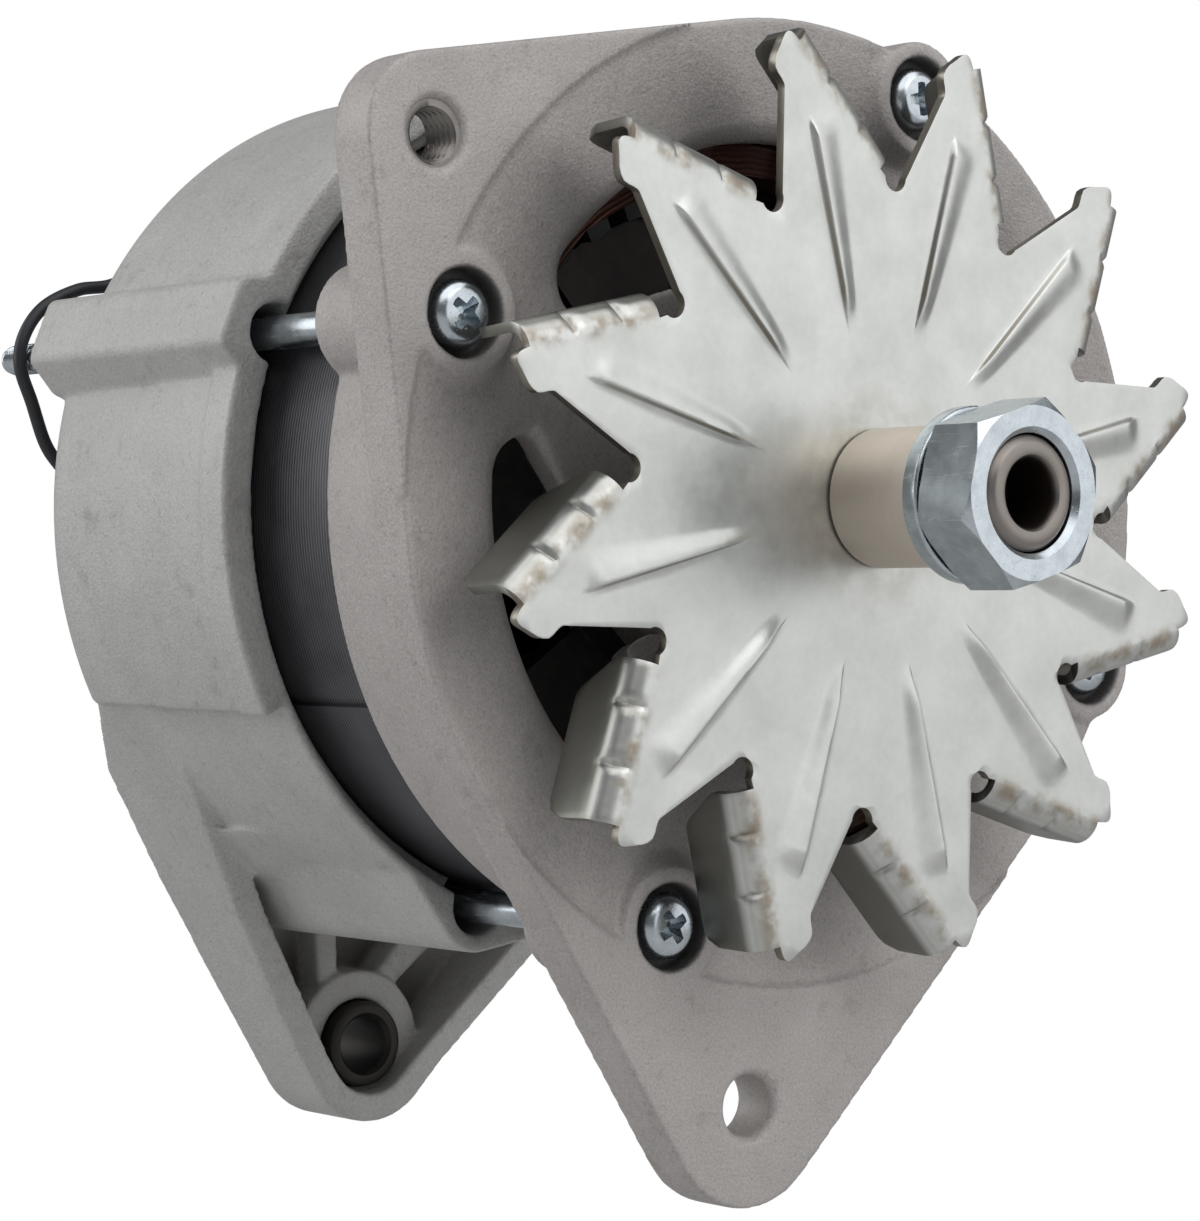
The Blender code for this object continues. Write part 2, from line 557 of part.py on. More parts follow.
def slip_ring_end_bracket():
    drum_end = DRUM_RADIUS - 1.3
    corner = DRUM_CORNER
    hub_rear = DRUM_REAR + 3.4
    outer = [(0.0, RIM_FRONT), (RIM_RADIUS, RIM_FRONT), (RIM_RADIUS, RIM_FRONT + RIM_LENGTH),
             (DRUM_RADIUS - 0.4, RIM_FRONT + RIM_LENGTH + 1.0), (drum_end, DRUM_REAR - corner)]
    for step in (1, 2):
        turn = math.pi / 2 * step / 2
        outer.append((drum_end - corner * (1 - math.cos(turn)),
                      DRUM_REAR - corner * (1 - math.sin(turn))))
    outer.append((0.0, DRUM_REAR))
    bracket = Piece("slip_ring_end_bracket", lathe(outer, ROUND_STEPS), CAST_REAR, smooth=35)
    low, high = SADDLE_ANGLES
    relief = Piece("saddle_relief", prism(sector(SADDLE_RADIUS, DRUM_RADIUS + 20.0, low, high, steps=15),
                                          RIM_FRONT - 1.0, DRUM_REAR - 0.8))
    bracket.cut(relief)
    ridges = bmesh.new()
    ridge_root = DRUM_RADIUS - 14.0
    for angle in BOLT_ANGLES[:3]:
        wide, top = RIDGE_HALF_WIDTH, RIDGE_HALF_WIDTH - 2.6
        side = [(RIDGE_RADIUS, top - 1.6), (RIDGE_RADIUS - 0.7, top), (DRUM_RADIUS - 1.5, wide),
                (ridge_root, wide)]
        outline = [(reach, -half) for reach, half in reversed(side)] + side
        prism(turned(outline, angle), RIM_FRONT, DRUM_REAR, ridges)
    low_boss = [(*BOLTS[3], ROD_PASSAGE_RADIUS + 2.6)]
    for side in (-13.0, 13.0):
        low_boss.append((*at(BOLT_ANGLES[3] + side, SADDLE_RADIUS - 3.5), 3.0))
    cap = Piece("rear_hub_cap",
                lathe([(0.0, DRUM_REAR - 1.0), (22.0, DRUM_REAR - 1.0), (20.0, hub_rear),
                       (0.0, hub_rear)], 28))
    bracket.add(Piece("ridge_blanks", ridges), Piece("low_bolt_boss",
                                                     hull(low_boss, RIM_FRONT, REAR_FOOT_FRONT + 3.0,
                                                          24)), cap, *rear_foot())
    register = STATOR_RADIUS + GAP
    inside = DRUM_RADIUS - DRUM_WALL
    floor = DRUM_REAR - END_WALL
    bearing_rear = REAR_BEARING["front"] + REAR_BEARING["width"] + GAP
    pocket = REAR_BEARING["outer"] + GAP
    hub = pocket + 4.0
    cavity = Piece("rear_cavity", lathe(
        [(0.0, RIM_FRONT - 1.0), (RIM_BORE_RADIUS, RIM_FRONT - 1.0), (RIM_BORE_RADIUS, RIM_FRONT + 3.5),
         (register, RIM_FRONT + 4.5), (register, STATOR_REAR + GAP), (register - 2.4, STATOR_REAR + GAP),
         (register - 2.4, STATOR_REAR + 3.0), (inside - 1.0, STATOR_REAR + 4.5), (inside - 1.0, floor),
         (0.0, floor)], ROUND_STEPS))
    hub_tube = Piece("rear_hub_blank", rod(hub, REAR_BEARING["front"] - 1.5, floor + 1.0, steps=28))
    bore = Piece("rear_bearing_pocket", rod(pocket, REAR_BEARING["front"] - 2.5, bearing_rear, steps=28))
    posts = bmesh.new()
    for angle in POST_ANGLES:
        rod(POST_RADIUS, MINUS_FRONT + PLATE_THICK + GAP, floor + 1.0, at(angle, POST_CIRCLE), 10, posts)
    bracket.cut(cavity).add(hub_tube, Piece("rectifier_posts", posts)).cut(bore)
    holes = bmesh.new()
    clearance = ROD_RADIUS + GAP
    for centre in BOLTS:
        lathe([(0.0, RIM_FRONT - 1.0), (ROD_PASSAGE_RADIUS, RIM_FRONT - 1.0), (ROD_PASSAGE_RADIUS, floor),
               (clearance, floor), (clearance, REAR_FOOT_BACK + 1.0), (0.0, REAR_FOOT_BACK + 1.0)], 16,
              centre, holes)
    seat = BUSH_RADIUS + GAP
    rod(seat, REAR_BOSS_FRONT - 1.0, REAR_FOOT_BACK + 1.0, pivot(), 24, holes)
    rod(STUD_RADIUS + 2.0, floor - 1.0, DRUM_REAR + 1.0, STUD, 16, holes)
    rod(1.9, floor - 1.0, DRUM_REAR + 1.0, capacitor_screw_at(), 8, holes)
    for x in holder_screws():
        rod(1.9, floor - 1.0, DRUM_REAR + 1.0, (x, holder_centre()), 8, holes)
    low_seat = bmesh.new()
    rod(NUT_M5_FLATS / math.sqrt(3) + 1.4, DRUM_REAR, REAR_FOOT_BACK + 1.0, BOLTS[3], 16, low_seat)
    vents = bmesh.new()
    for angle in VENTS:
        half = VENT_WIDTH / 2
        outline = [(VENT_INNER, -half * 0.6), (VENT_INNER + 2.0, -half), (VENT_OUTER - 3.0, -half),
                   (VENT_OUTER, -half * 0.4),
                   (VENT_OUTER, half * 0.4), (VENT_OUTER - 3.0, half), (VENT_INNER + 2.0, half),
                   (VENT_INNER, half * 0.6)]
        prism(turned(outline, angle), floor - 1.0, DRUM_REAR + 1.0, vents)
    neck = Piece("brush_neck_opening", box(
        (-NECK[0] / 2 - 0.6, floor - 1.0, NECK[1] - 0.6), (NECK[0] / 2 + 0.6, DRUM_REAR + 1.0,
                                                           NECK[2] + 0.6)))
    bracket.cut(Piece("rear_holes", holes), Piece("low_nut_seat", low_seat), Piece("vent_tools", vents),
                neck)
    return bracket


# Brush gear


def holder_centre():
    return (NECK[1] + NECK[2]) / 2


def holder_screws():
    return (-19.0, 19.0)


def brush_holder():
    front = RING_CENTRES[0] - BRUSH[1] / 2 - GAP - HOLDER_WALL
    end = RING_CENTRES[1] + BRUSH[1] / 2 + GAP + HOLDER_WALL
    low = RING_RADIUS + 2.2
    half = BRUSH[0] / 2 + GAP + HOLDER_WALL
    holder = Piece("brush_holder", box((-half, front, low), (half, end, NECK[2])), PLASTIC)
    seat = DRUM_REAR + GAP
    neck = Piece("holder_neck",
                 box((-NECK[0] / 2, end - 3.0, NECK[1]), (NECK[0] / 2, seat + 1.0, NECK[2])))
    flange = Piece("holder_flange",
                   hull([(x, holder_centre(), 5.0) for x in holder_screws()], seat, seat + 3.0, 16))
    pad = Piece("regulator_case",
                box((-14.5, seat + 1.0, NECK[1] + 1.2), (14.5, seat + 9.0, NECK[2] + 8.0)))
    holder.add(neck, flange, pad)
    tools = bmesh.new()
    for centre in RING_CENTRES:
        top = NECK[2] - HOLDER_WALL
        box((-BRUSH[0] / 2 - GAP, centre - BRUSH[1] / 2 - GAP, low - 1.0),
            (BRUSH[0] / 2 + GAP, centre + BRUSH[1] / 2 + GAP, top), tools)
    for x in holder_screws():
        rod(2.2, seat - 1.0, seat + 4.0, (x, holder_centre()), 10, tools)
    return holder.cut(Piece("holder_tools", tools))


def helix(name, centre, low, high, radius, wire, turns, finish):
    """A round-wire compression spring along Z."""
    curve = bpy.data.curves.new(name, "CURVE")
    curve.dimensions = "3D"
    curve.bevel_depth = wire * MM
    curve.bevel_resolution = 0
    curve.use_fill_caps = True
    spline = curve.splines.new("POLY")
    count = turns * 8 + 1
    spline.points.add(count - 1)
    for step in range(count):
        turn = 2 * math.pi * step / 8
        x = centre[0] + radius * math.cos(turn)
        y = centre[1] + radius * math.sin(turn)
        z = low + (high - low) * step / (count - 1)
        spline.points[step].co = (x * MM, y * MM, z * MM, 1.0)
    curve.materials.append(finish)
    made = bpy.data.objects.new(name, curve)
    bpy.context.collection.objects.link(made)
    made.location = (0.0, 0.0, PIVOT_DROP * MM)
    return made


def brushes():
    low = RING_RADIUS + GAP
    top = NECK[2] - HOLDER_WALL
    for name, centre in zip(("inner", "outer"), RING_CENTRES):
        seat = low + BRUSH[2]
        Piece("brush_" + name,
              box((-BRUSH[0] / 2, centre - BRUSH[1] / 2, low),
                  (BRUSH[0] / 2, centre + BRUSH[1] / 2, seat)),
              CARBON, origin=(0.0, centre, seat))
        helix("brush_spring_" + name, (0.0, centre), seat + GAP + 0.35, top - GAP - 0.35, 1.6, 0.35, 3,
              STEEL)


# Stator


def stator_core():
    outline = []
    pitch = 360.0 / SLOTS
    bottom = STATOR_BORE_RADIUS + SLOT_DEPTH
    for slot in range(SLOTS):
        angle = slot * pitch
        mouth = math.degrees(SLOT_WIDTH / 2 / STATOR_BORE_RADIUS)
        deep = math.degrees(SLOT_WIDTH / 2 / bottom)
        for turn, radius in ((-mouth, STATOR_BORE_RADIUS), (-deep, bottom), (deep, bottom),
                             (mouth, STATOR_BORE_RADIUS)):
            outline.append(at(angle + turn, radius))
    core = Piece("stator_core", rod(STATOR_RADIUS, STATOR_FRONT, STATOR_REAR, steps=72), LAMINATION,
                 smooth=35)
    seams = bmesh.new()
    for seam in range(4):
        groove = [(STATOR_RADIUS - 0.7, -0.5), (STATOR_RADIUS + 1.0, -0.9), (STATOR_RADIUS + 1.0, 0.9),
                  (STATOR_RADIUS - 0.7, 0.5)]
        prism(turned(groove, BOLT_ANGLES[3] - 40.0 + 90.0 * seam), STATOR_FRONT - 1.0, STATOR_REAR + 1.0,
              seams)
    core.cut(Piece("bore_and_slots", prism(outline, STATOR_FRONT - 1.0, STATOR_REAR + 1.0)),
             Piece("seam_tools", seams))
    return core


def stator_winding():
    """Two overhangs joined by a bar in each slot."""
    inner = STATOR_BORE_RADIUS + 3.2
    outer = STATOR_BORE_RADIUS + SLOT_DEPTH + 2.4
    middle = (inner + outer) / 2
    front = STATOR_FRONT - GAP - 0.6
    rear = STATOR_REAR + GAP + 0.6
    rings = bmesh.new()
    for near, way in ((front, -1.0), (rear, 1.0)):
        far = near + way * OVERHANG
        profile = [(inner, near), (inner + 1.0, far - way * 1.5), (middle, far),
                   (outer - 0.8, far - way * 2.0),
                   (outer - 1.6, near)]
        lathe(profile, 2 * SLOTS // 3, mesh=rings, ripple=0.015)
    winding = Piece("stator_winding", rings, COPPER, smooth=40)
    bars = bmesh.new()
    half = SLOT_WIDTH / 2 - GAP
    low = STATOR_BORE_RADIUS + 3.6
    high = STATOR_BORE_RADIUS + SLOT_DEPTH - GAP
    for slot in range(SLOTS):
        outline = [(low, -half), (high, -half * 0.92), (high, half * 0.92), (low, half)]
        prism(turned(outline, slot * 360.0 / SLOTS), front - 1.0, rear + 1.0, bars)
    return winding.add(Piece("slot_bars", bars))


# Rotor


def rotor_shaft():
    seat = FRONT_BEARING["front"] + FRONT_BEARING["width"]
    bearing = REAR_BEARING["front"] - GAP
    tail = REAR_BEARING["front"] + REAR_BEARING["width"] - 0.5
    pin = REAR_BEARING["bore"] - GAP
    step = FAN_FRONT - SLEEVE_LENGTH
    journal = SHAFT_RADIUS - GAP
    profile = [(0.0, NOSE_END + 9.0), (NOSE_SOCKET_RADIUS, NOSE_END + 9.0),
               (NOSE_SOCKET_RADIUS, NOSE_END + 0.4),
               (NOSE_SOCKET_RADIUS + 0.4, NOSE_END), (NOSE_RADIUS - 0.9, NOSE_END),
               (NOSE_RADIUS, NOSE_END + 1.0),
               (NOSE_RADIUS, step), (journal, step + 0.5), (journal, seat), (CORE_SEAT_RADIUS, seat),
               (CORE_SEAT_RADIUS, POLE_REAR + 1.5), (TAIL_RADIUS, POLE_REAR + 1.5),
               (TAIL_RADIUS, bearing),
               (pin, bearing), (pin, tail - 0.5), (pin - 0.5, tail), (0.0, tail)]
    return Piece("rotor_shaft", lathe(profile, 20), STEEL, smooth=30)


def claw_pole(name, face, way, turn):
    """A forged disc with six tapering fingers; way is +1 where they point to the rear."""
    inward = face + way * POLE_DISC
    middle = (POLE_FRONT + POLE_REAR) / 2
    core_end = middle - way * GAP / 2
    bore = CORE_SEAT_RADIUS + GAP
    pole = Piece(name, lathe(
        [(bore, face), (POLE_DISC_RADIUS - 1.0, face), (POLE_DISC_RADIUS, face + way),
         (POLE_DISC_RADIUS, inward),
         (CORE_RADIUS, inward), (CORE_RADIUS, core_end), (bore, core_end)], 24), POLE_IRON, smooth=30)
    fingers = bmesh.new()
    tip = face + way * (POLE_REAR - POLE_FRONT - 1.5)
    for finger in range(FINGERS):
        centre = turn + 360.0 * finger / FINGERS
        sections = []
        for y, inner, half in ((face + way * 0.2, POLE_DISC_RADIUS - 3.0, 16.0),
                               (inward, POLE_RADIUS - FINGER_ROOT, 14.0),
                               (tip, POLE_RADIUS - FINGER_TIP, 6.0)):
            outer = POLE_RADIUS
            ring = [at(centre + half * f, outer) for f in (-1.0, -0.33, 0.33, 1.0)]
            ring += [at(centre + half * 0.9 * f, inner) for f in (1.0, -1.0)]
            sections.append([(x, y, z) for x, z in ring])
        loft(fingers, sections)
    return pole.add(Piece(name + "_fingers", fingers))


def field_winding():
    front = POLE_FRONT + POLE_DISC + GAP
    rear = POLE_REAR - POLE_DISC - GAP
    inner = CORE_RADIUS + GAP
    flange = POLE_DISC_RADIUS + 1.0
    wall = 1.2
    Piece("coil_bobbin", lathe(
        [(inner, front), (flange, front), (flange, front + wall), (inner + wall, front + wall),
         (inner + wall, rear - wall), (flange, rear - wall), (flange, rear), (inner, rear)], 20),
          PLASTIC, smooth=30)
    Piece("field_coil", tube(inner + wall + GAP, flange - 1.2, front + wall + GAP, rear - wall - GAP, 30),
          COPPER, smooth=30)


def slip_rings():
    bore = TAIL_RADIUS + GAP
    seat = RING_RADIUS - RING_WALL - GAP
    front = POLE_REAR + 3.0
    rear = REAR_BEARING["front"] - 1.5
    collar = RING_RADIUS - 0.8
    edge = RING_WIDTH / 2 + GAP
    profile = [(bore, front), (collar, front), (collar, RING_CENTRES[0] - edge),
               (seat, RING_CENTRES[0] - edge),
               (seat, RING_CENTRES[0] + edge), (collar, RING_CENTRES[0] + edge),
               (collar, RING_CENTRES[1] - edge),
               (seat, RING_CENTRES[1] - edge)]
    profile += [(seat, rear), (bore, rear)]
    Piece("slip_ring_insulator", lathe(profile, 16), PLASTIC, smooth=30)
    for name, centre in zip(("slip_ring_inner", "slip_ring_outer"), RING_CENTRES):
        Piece(name,
              tube(RING_RADIUS - RING_WALL, RING_RADIUS, centre - RING_WIDTH / 2,
                   centre + RING_WIDTH / 2, 24), BRONZE,
              smooth=30)


def bearing(name, size):
    """Two grooved races, and the balls in their riveted cage."""
    front, rear = size["front"], size["front"] + size["width"]
    middle = (front + rear) / 2
    pitch = (size["bore"] + size["outer"]) / 2
    inner_top = pitch - RACE_LIP * size["ball"]
    outer_low = pitch + RACE_LIP * size["ball"]
    track = size["ball"] + 2 * GAP
    for race, wall, lip, way in (("inner", size["bore"], inner_top, 1.0),
                                 ("outer", size["outer"], outer_low, -1.0)):
        half = math.acos(abs(lip - pitch) / track)
        arc = []
        for share in (-1.0, 0.0, 1.0):
            reach = track if share else track + GAP
            arc.append((pitch - way * reach * math.cos(share * half),
                        middle + reach * math.sin(share * half)))
        profile = [(wall, front), (lip, front)] + arc + [(lip, rear), (wall, rear)]
        Piece(f"{name}_bearing_{race}_race", lathe(profile, 18), STEEL, smooth=30)
    cage = Piece(f"{name}_bearing_ball_cage",
                 tube(pitch - 0.7, pitch + 0.7, middle - 2.4, middle + 2.4, 14), STEEL, smooth=40)
    balls = bmesh.new()
    for ball in range(size["balls"]):
        x, z = at(360.0 * ball / size["balls"], pitch)
        bmesh.ops.create_uvsphere(balls, u_segments=6, v_segments=4, radius=size["ball"],
                                  matrix=Matrix.Translation((x, middle, z)))
    cage.add(Piece(f"{name}_balls", balls))


def bearing_retainer():
    front = FRONT_BEARING["front"] + FRONT_BEARING["width"] + GAP
    plate = Piece("bearing_retainer",
                  tube(FRONT_BEARING["outer"] - 3.0, RETAINER_RADIUS, front, front + RETAINER, 32), ZINC,
                  smooth=30)
    holes = bmesh.new()
    for screw, angle in enumerate(retainer_angles()):
        centre = at(angle, RETAINER_SCREW_CIRCLE)
        rod(RETAINER_SCREW_RADIUS + GAP, front - 1.0, front + RETAINER + 1.0, centre, 8, holes)
        head = front + RETAINER + GAP
        Piece(f"retainer_screw_{screw + 1}", lathe(
            [(0.0, 9.5), (RETAINER_SCREW_RADIUS, 9.5), (RETAINER_SCREW_RADIUS, head), (3.1, head),
             (2.8, head + 1.4),
             (0.0, head + 1.4)], 10, centre), ZINC, smooth=30)
    plate.cut(Piece("retainer_holes", holes))


# Fan and the nose's stack


def blade_sections():
    """Rows across one blade, from the notch roots to the tip.

    Each row holds the bend line's start and the free edge in the blade's own plane, as
    (along the rib, across it), and how deep the folded wall reaches there.
    """
    return (
        ((46.3, -12.3), (46.1, 7.6), 4.5),
        ((51.2, -9.6), (50.8, 6.4), 11.3),
        ((55.9, -7.1), (55.5, 5.2), FAN_BLADE_DEPTH),
        ((60.6, -4.5), (60.3, 3.9), FAN_BLADE_DEPTH),
        ((63.4, -3.0), (62.6, 5.1), FAN_BLADE_DEPTH),
        ((66.1, -1.4), (66.2, 1.6), FAN_BLADE_DEPTH - 1.4),
    )


def rib_width(reach):
    share = (reach - FAN_RIB_START) / (FAN_RIB_END - FAN_RIB_START)
    narrow, wide = FAN_RIB_WIDTHS
    return narrow + (wide - narrow) * min(max(share, 0.0), 1.0)


def fan_sheet():
    """The fan's front skin: a hub with twelve pressed ribs, and blades folded to the rear."""
    mesh = bmesh.new()
    lag = 360.0 / FAN_BLADES - FAN_ROOT_LEAD
    hub_rows = (FAN_BORE_RADIUS, SLEEVE_RADIUS + GAP, FAN_RIB_START, FAN_RIB_START + 2.0, 36.0, FAN_ROOT_RADIUS)
    fold = (0.876, 0.482)
    out = (0.482, -0.876)
    for blade in range(FAN_BLADES):
        rib = math.radians(FAN_FIRST_RIB - 360.0 / FAN_BLADES * blade)
        c, s = math.cos(rib), math.sin(rib)

        def place(along, across, depth):
            return mesh.verts.new((along * c - across * s, FAN_FRONT + depth, along * s + across * c))

        rows = []
        for radius in hub_rows:
            raised = FAN_RIB_START < radius < FAN_RIB_END
            coined = FAN_COIN if radius < SLEEVE_RADIUS else 0.0
            width = rib_width(radius)
            foot = math.degrees(math.asin(width / radius))
            row_points = []
            for angle, lift in ((-lag, 0), (-foot, 0), (-0.25 * foot, raised), (foot, 0),
                                (FAN_ROOT_LEAD, 0)):
                along, across = at(angle, radius)
                row_points.append(place(along, across, coined - FAN_RIB_HEIGHT * lift))
            rows.append(row_points)
        folds = []
        for (left, right, depth) in blade_sections():
            width = rib_width(left[0])
            raised = left[0] < FAN_RIB_END - 2.0
            points = []
            marks = [(left, 0)]
            for across, lift in ((-width, 0), (-0.25 * width, raised), (width, 0)):
                share = (across - left[1]) / (right[1] - left[1])
                share = min(max(share, 0.22), 0.8)
                along = left[0] + (right[0] - left[0]) * share
                marks.append(((along, left[1] + (right[1] - left[1]) * share), lift))
            marks.append((right, 0))
            for (along, across), lift in marks:
                points.append(place(along, across, -FAN_RIB_HEIGHT * lift))
            rows.append(points)
            wall = [points[0]]
            for turn in (45.0, 90.0):
                swing = math.radians(turn)
                reach = FAN_BEND * math.sin(swing)
                wall.append(place(left[0] + out[0] * reach, left[1] + out[1] * reach,
                                  FAN_BEND * (1 - math.cos(swing))))
            lean = FAN_BEND - 0.07 * (depth - FAN_BEND)
            wall.append(place(left[0] + out[0] * lean, left[1] + out[1] * lean, depth))
            folds.append(wall)
        for table in (rows, folds):
            for one, two in zip(table, table[1:]):
                for a in range(len(one) - 1):
                    mesh.faces.new((one[a], one[a + 1], two[a + 1], two[a]))
    bmesh.ops.remove_doubles(mesh, verts=mesh.verts, dist=0.01)
    return mesh


def fan():
    sheet = Piece("fan", fan_sheet(), FAN_ZINC, smooth=35)
    data = sheet.object.data
    front = min(data.polygons, key=lambda face: (face.center.x ** 2 + face.center.z ** 2) ** 0.5)
    if front.normal.y > 0:
        data.flip_normals()
    thick = sheet.object.modifiers.new("sheet", "SOLIDIFY")
    thick.thickness = FAN_SHEET * MM
    thick.offset = -1.0
    thick.use_even_offset = True
    shading = sheet.object.modifiers.new("shading", "WEIGHTED_NORMAL")
    shading.keep_sharp = True
    return sheet


def nose_stack():
    rear = FAN_FRONT + FAN_SHEET + GAP
    spacer_rear = FRONT_BEARING["front"] - GAP
    Piece("fan_spacer", tube(SHAFT_RADIUS, FAN_SPACER_RADIUS, rear, spacer_rear, 32), STEEL, smooth=30)
    sleeve_front = FAN_FRONT - SLEEVE_LENGTH
    Piece("pulley_spacer", tube(SHAFT_RADIUS, SLEEVE_RADIUS, sleeve_front, FAN_FRONT - GAP, 40),
          SLEEVE_STEEL,
          smooth=30)
    washer_rear = sleeve_front - GAP
    washer = Piece("spring_washer",
                   tube(NOSE_RADIUS + GAP, WASHER_RADIUS, washer_rear - WASHER, washer_rear, 40), ZINC,
                   smooth=30)
    slit = bmesh.new()
    prism([(-0.9, 6.0), (0.5, 6.0), (0.9, 16.0), (-0.5, 16.0)], washer_rear - WASHER - 1.0,
          washer_rear + 1.0, slit)
    bmesh.ops.rotate(slit, verts=slit.verts, cent=(0.0, 0.0, 0.0),
                     matrix=Matrix.Rotation(math.radians(-8.0), 3, "Y"))
    washer.cut(Piece("washer_slit", slit))
    nut_rear = washer_rear - WASHER - GAP
    hex_nut("shaft_nut", NUT_FLATS, NUT_HEIGHT, NOSE_RADIUS + GAP, nut_rear - NUT_HEIGHT, turn=NUT_TURN,
            chamfer=1.6,
            finish=ZINC)


# Fasteners


def cross_recess(name, centre, face, turn):
    mesh = bmesh.new()
    sections = []
    for y, long, wide in ((face - 0.5, 2.5, 0.75), (face + 1.9, 1.3, 0.45)):
        ring = []
        for arm in range(4):
            ux, uz = at(turn + 90.0 * arm, 1.0)
            for a, b in ((long, -wide), (long, wide), (wide, wide)):
                ring.append((centre[0] + a * ux - b * uz, y, centre[1] + a * uz + b * ux))
        sections.append(ring)
    return Piece(name, loft(mesh, sections))


def through_bolts():
    seat = COUNTERBORE_DEPTH - GAP
    top = seat - HEAD_HEIGHT
    tip = seat + BOLT_LENGTH
    nut_front = DRUM_REAR + GAP
    for number, centre in enumerate(BOLTS, 1):
        profile = [(0.0, top), (HEAD_RADIUS - 1.7, top + 0.1), (HEAD_RADIUS - 0.5, top + 0.9),
                   (HEAD_RADIUS, top + 2.0),
                   (HEAD_RADIUS, seat), (ROD_RADIUS, seat), (ROD_RADIUS, tip - 1.4),
                   (ROD_RADIUS - 0.9, tip - 0.3), (0.0, tip)]
        bolt = Piece(f"through_bolt_{number}", lathe(profile, 16, centre), ZINC, smooth=35)
        bolt.cut(cross_recess(f"bolt_recess_{number}", centre, top, 20.0 + 25.0 * number))
        hex_nut(f"through_bolt_nut_{number}", NUT_M5_FLATS, NUT_M5_HEIGHT, ROD_RADIUS + GAP, nut_front,
                centre,
                30.0 + BOLT_ANGLES[number - 1], finish=ZINC)


def pivot_bush():
    Piece("pivot_bush", lathe(
        [(PIVOT_HOLE_RADIUS + 0.5, BUSH_FRONT), (BUSH_RADIUS - 0.7, BUSH_FRONT),
         (BUSH_RADIUS, BUSH_FRONT + 0.7),
         (BUSH_RADIUS, BUSH_REAR), (PIVOT_HOLE_RADIUS, BUSH_REAR),
         (PIVOT_HOLE_RADIUS, BUSH_FRONT + 0.5)], 24, pivot()),
        DARK_STEEL, smooth=30)


# Rectifier, stud, capacitor, lead


def rectifier():
    span = {"positive": (112.0, 248.0, PLUS_FRONT), "negative": (-66.0, 62.0, MINUS_FRONT)}
    number = 0
    for name, (start, end, front) in span.items():
        plate = Piece(f"rectifier_{name}_plate",
                      prism(sector(PLATE_INNER, PLATE_OUTER, start, end, 3.0, 10), front,
                            front + PLATE_THICK),
                      STEEL, smooth=30)
        tools = bmesh.new()
        third = (end - start) / 3
        for place in range(3):
            number += 1
            turn = start + third * (place + 0.5)
            if name == "positive":
                turn += (-6.0, -14.0, 6.0)[place]
            centre = at(turn, DIODE_CIRCLE)
            rod(DIODE_RADIUS + GAP, front - 1.0, front + PLATE_THICK + 1.0, centre, 14, tools)
            cap = front - DIODE_HEIGHT + PLATE_THICK
            Piece(f"diode_{number}", lathe(
                [(0.0, cap - 5.0), (0.8, cap - 5.0), (0.8, cap), (DIODE_RADIUS, cap),
                 (DIODE_RADIUS, front + PLATE_THICK),
                 (0.0, front + PLATE_THICK)], 14, centre), POLE_IRON, smooth=30)
        if name == "positive":
            rod(STUD_RADIUS + GAP, front - 1.0, front + PLATE_THICK + 1.0, STUD, 12, tools)
        plate.cut(Piece(f"{name}_plate_holes", tools))


def output_terminal():
    head = PLUS_FRONT - GAP
    Piece("output_stud", lathe(
        [(0.0, head - 3.0), (5.0, head - 3.0), (5.0, head), (STUD_RADIUS, head),
         (STUD_RADIUS, STUD_END - 0.6),
         (STUD_RADIUS - 0.6, STUD_END), (0.0, STUD_END)], 14, STUD), STEEL, smooth=30)
    plate_rear = PLUS_FRONT + PLATE_THICK + GAP
    flange = DRUM_REAR + GAP
    inner = STUD_RADIUS + GAP
    Piece("stud_insulator", lathe(
        [(inner, plate_rear), (7.0, plate_rear), (7.0, DRUM_REAR - END_WALL - GAP),
         (STUD_RADIUS + 2.0 - GAP, DRUM_REAR - END_WALL - GAP),
         (STUD_RADIUS + 2.0 - GAP, flange), (7.0, flange), (7.0, flange + 2.0), (inner, flange + 2.0)],
         16, STUD), PLASTIC, smooth=30)
    nut = flange + 2.0 + GAP
    hex_nut("output_stud_nut", 10.0, 4.5, inner, nut, STUD, 20.0, finish=STEEL)
    eye = nut + 4.5 + GAP
    terminal = Piece("lead_terminal", tube(inner, 5.4, eye, eye + 1.0, 14, STUD), STEEL, smooth=30)
    x, z = STUD
    terminal.add(Piece("terminal_tongue", box((x - 11.0, eye, z + 0.2), (x - 3.8, eye + 1.0, z + 3.6))))
    hex_nut("terminal_nut", 10.0, 4.5, inner, eye + 1.0 + GAP, STUD, 5.0, finish=STEEL)
    return eye + 1.0


def capacitor_at():
    """The can's X and Y: it lies sunk a little into its strap, on the end wall."""
    return CAPACITOR_X, DRUM_REAR + GAP + STRAP + CAPACITOR_RADIUS - 0.6


def capacitor_screw_at():
    return CAPACITOR_X, CAPACITOR_Z[0] - 6.0


def capacitor():
    x, y = capacitor_at()
    low, high = CAPACITOR_Z
    mesh = bmesh.new()
    sections = []
    for z, radius in ((low, CAPACITOR_RADIUS - 0.8), (low + 0.8, CAPACITOR_RADIUS),
                      (high, CAPACITOR_RADIUS), (high + 0.01, 2.0),
                      (high + 1.6, 1.8)):
        sections.append([(x + at(20.0 * step, radius)[0], y + at(20.0 * step, radius)[1],
                          z) for step in range(18)])
    loft(mesh, sections)
    body = Piece("suppression_capacitor", mesh, STEEL, smooth=35)
    seat = DRUM_REAR + GAP
    screw = capacitor_screw_at()
    tab = Piece("capacitor_strap",
                box((x - 5.0, seat, screw[1] - 5.0), (x + 5.0, seat + STRAP, high - 4.0)))
    hole = Piece("strap_hole", rod(2.1, seat - 1.0, seat + 3.0, screw, 10))
    body.add(tab).cut(hole)
    head = seat + STRAP + GAP
    pan_screw("capacitor_screw", screw, head)


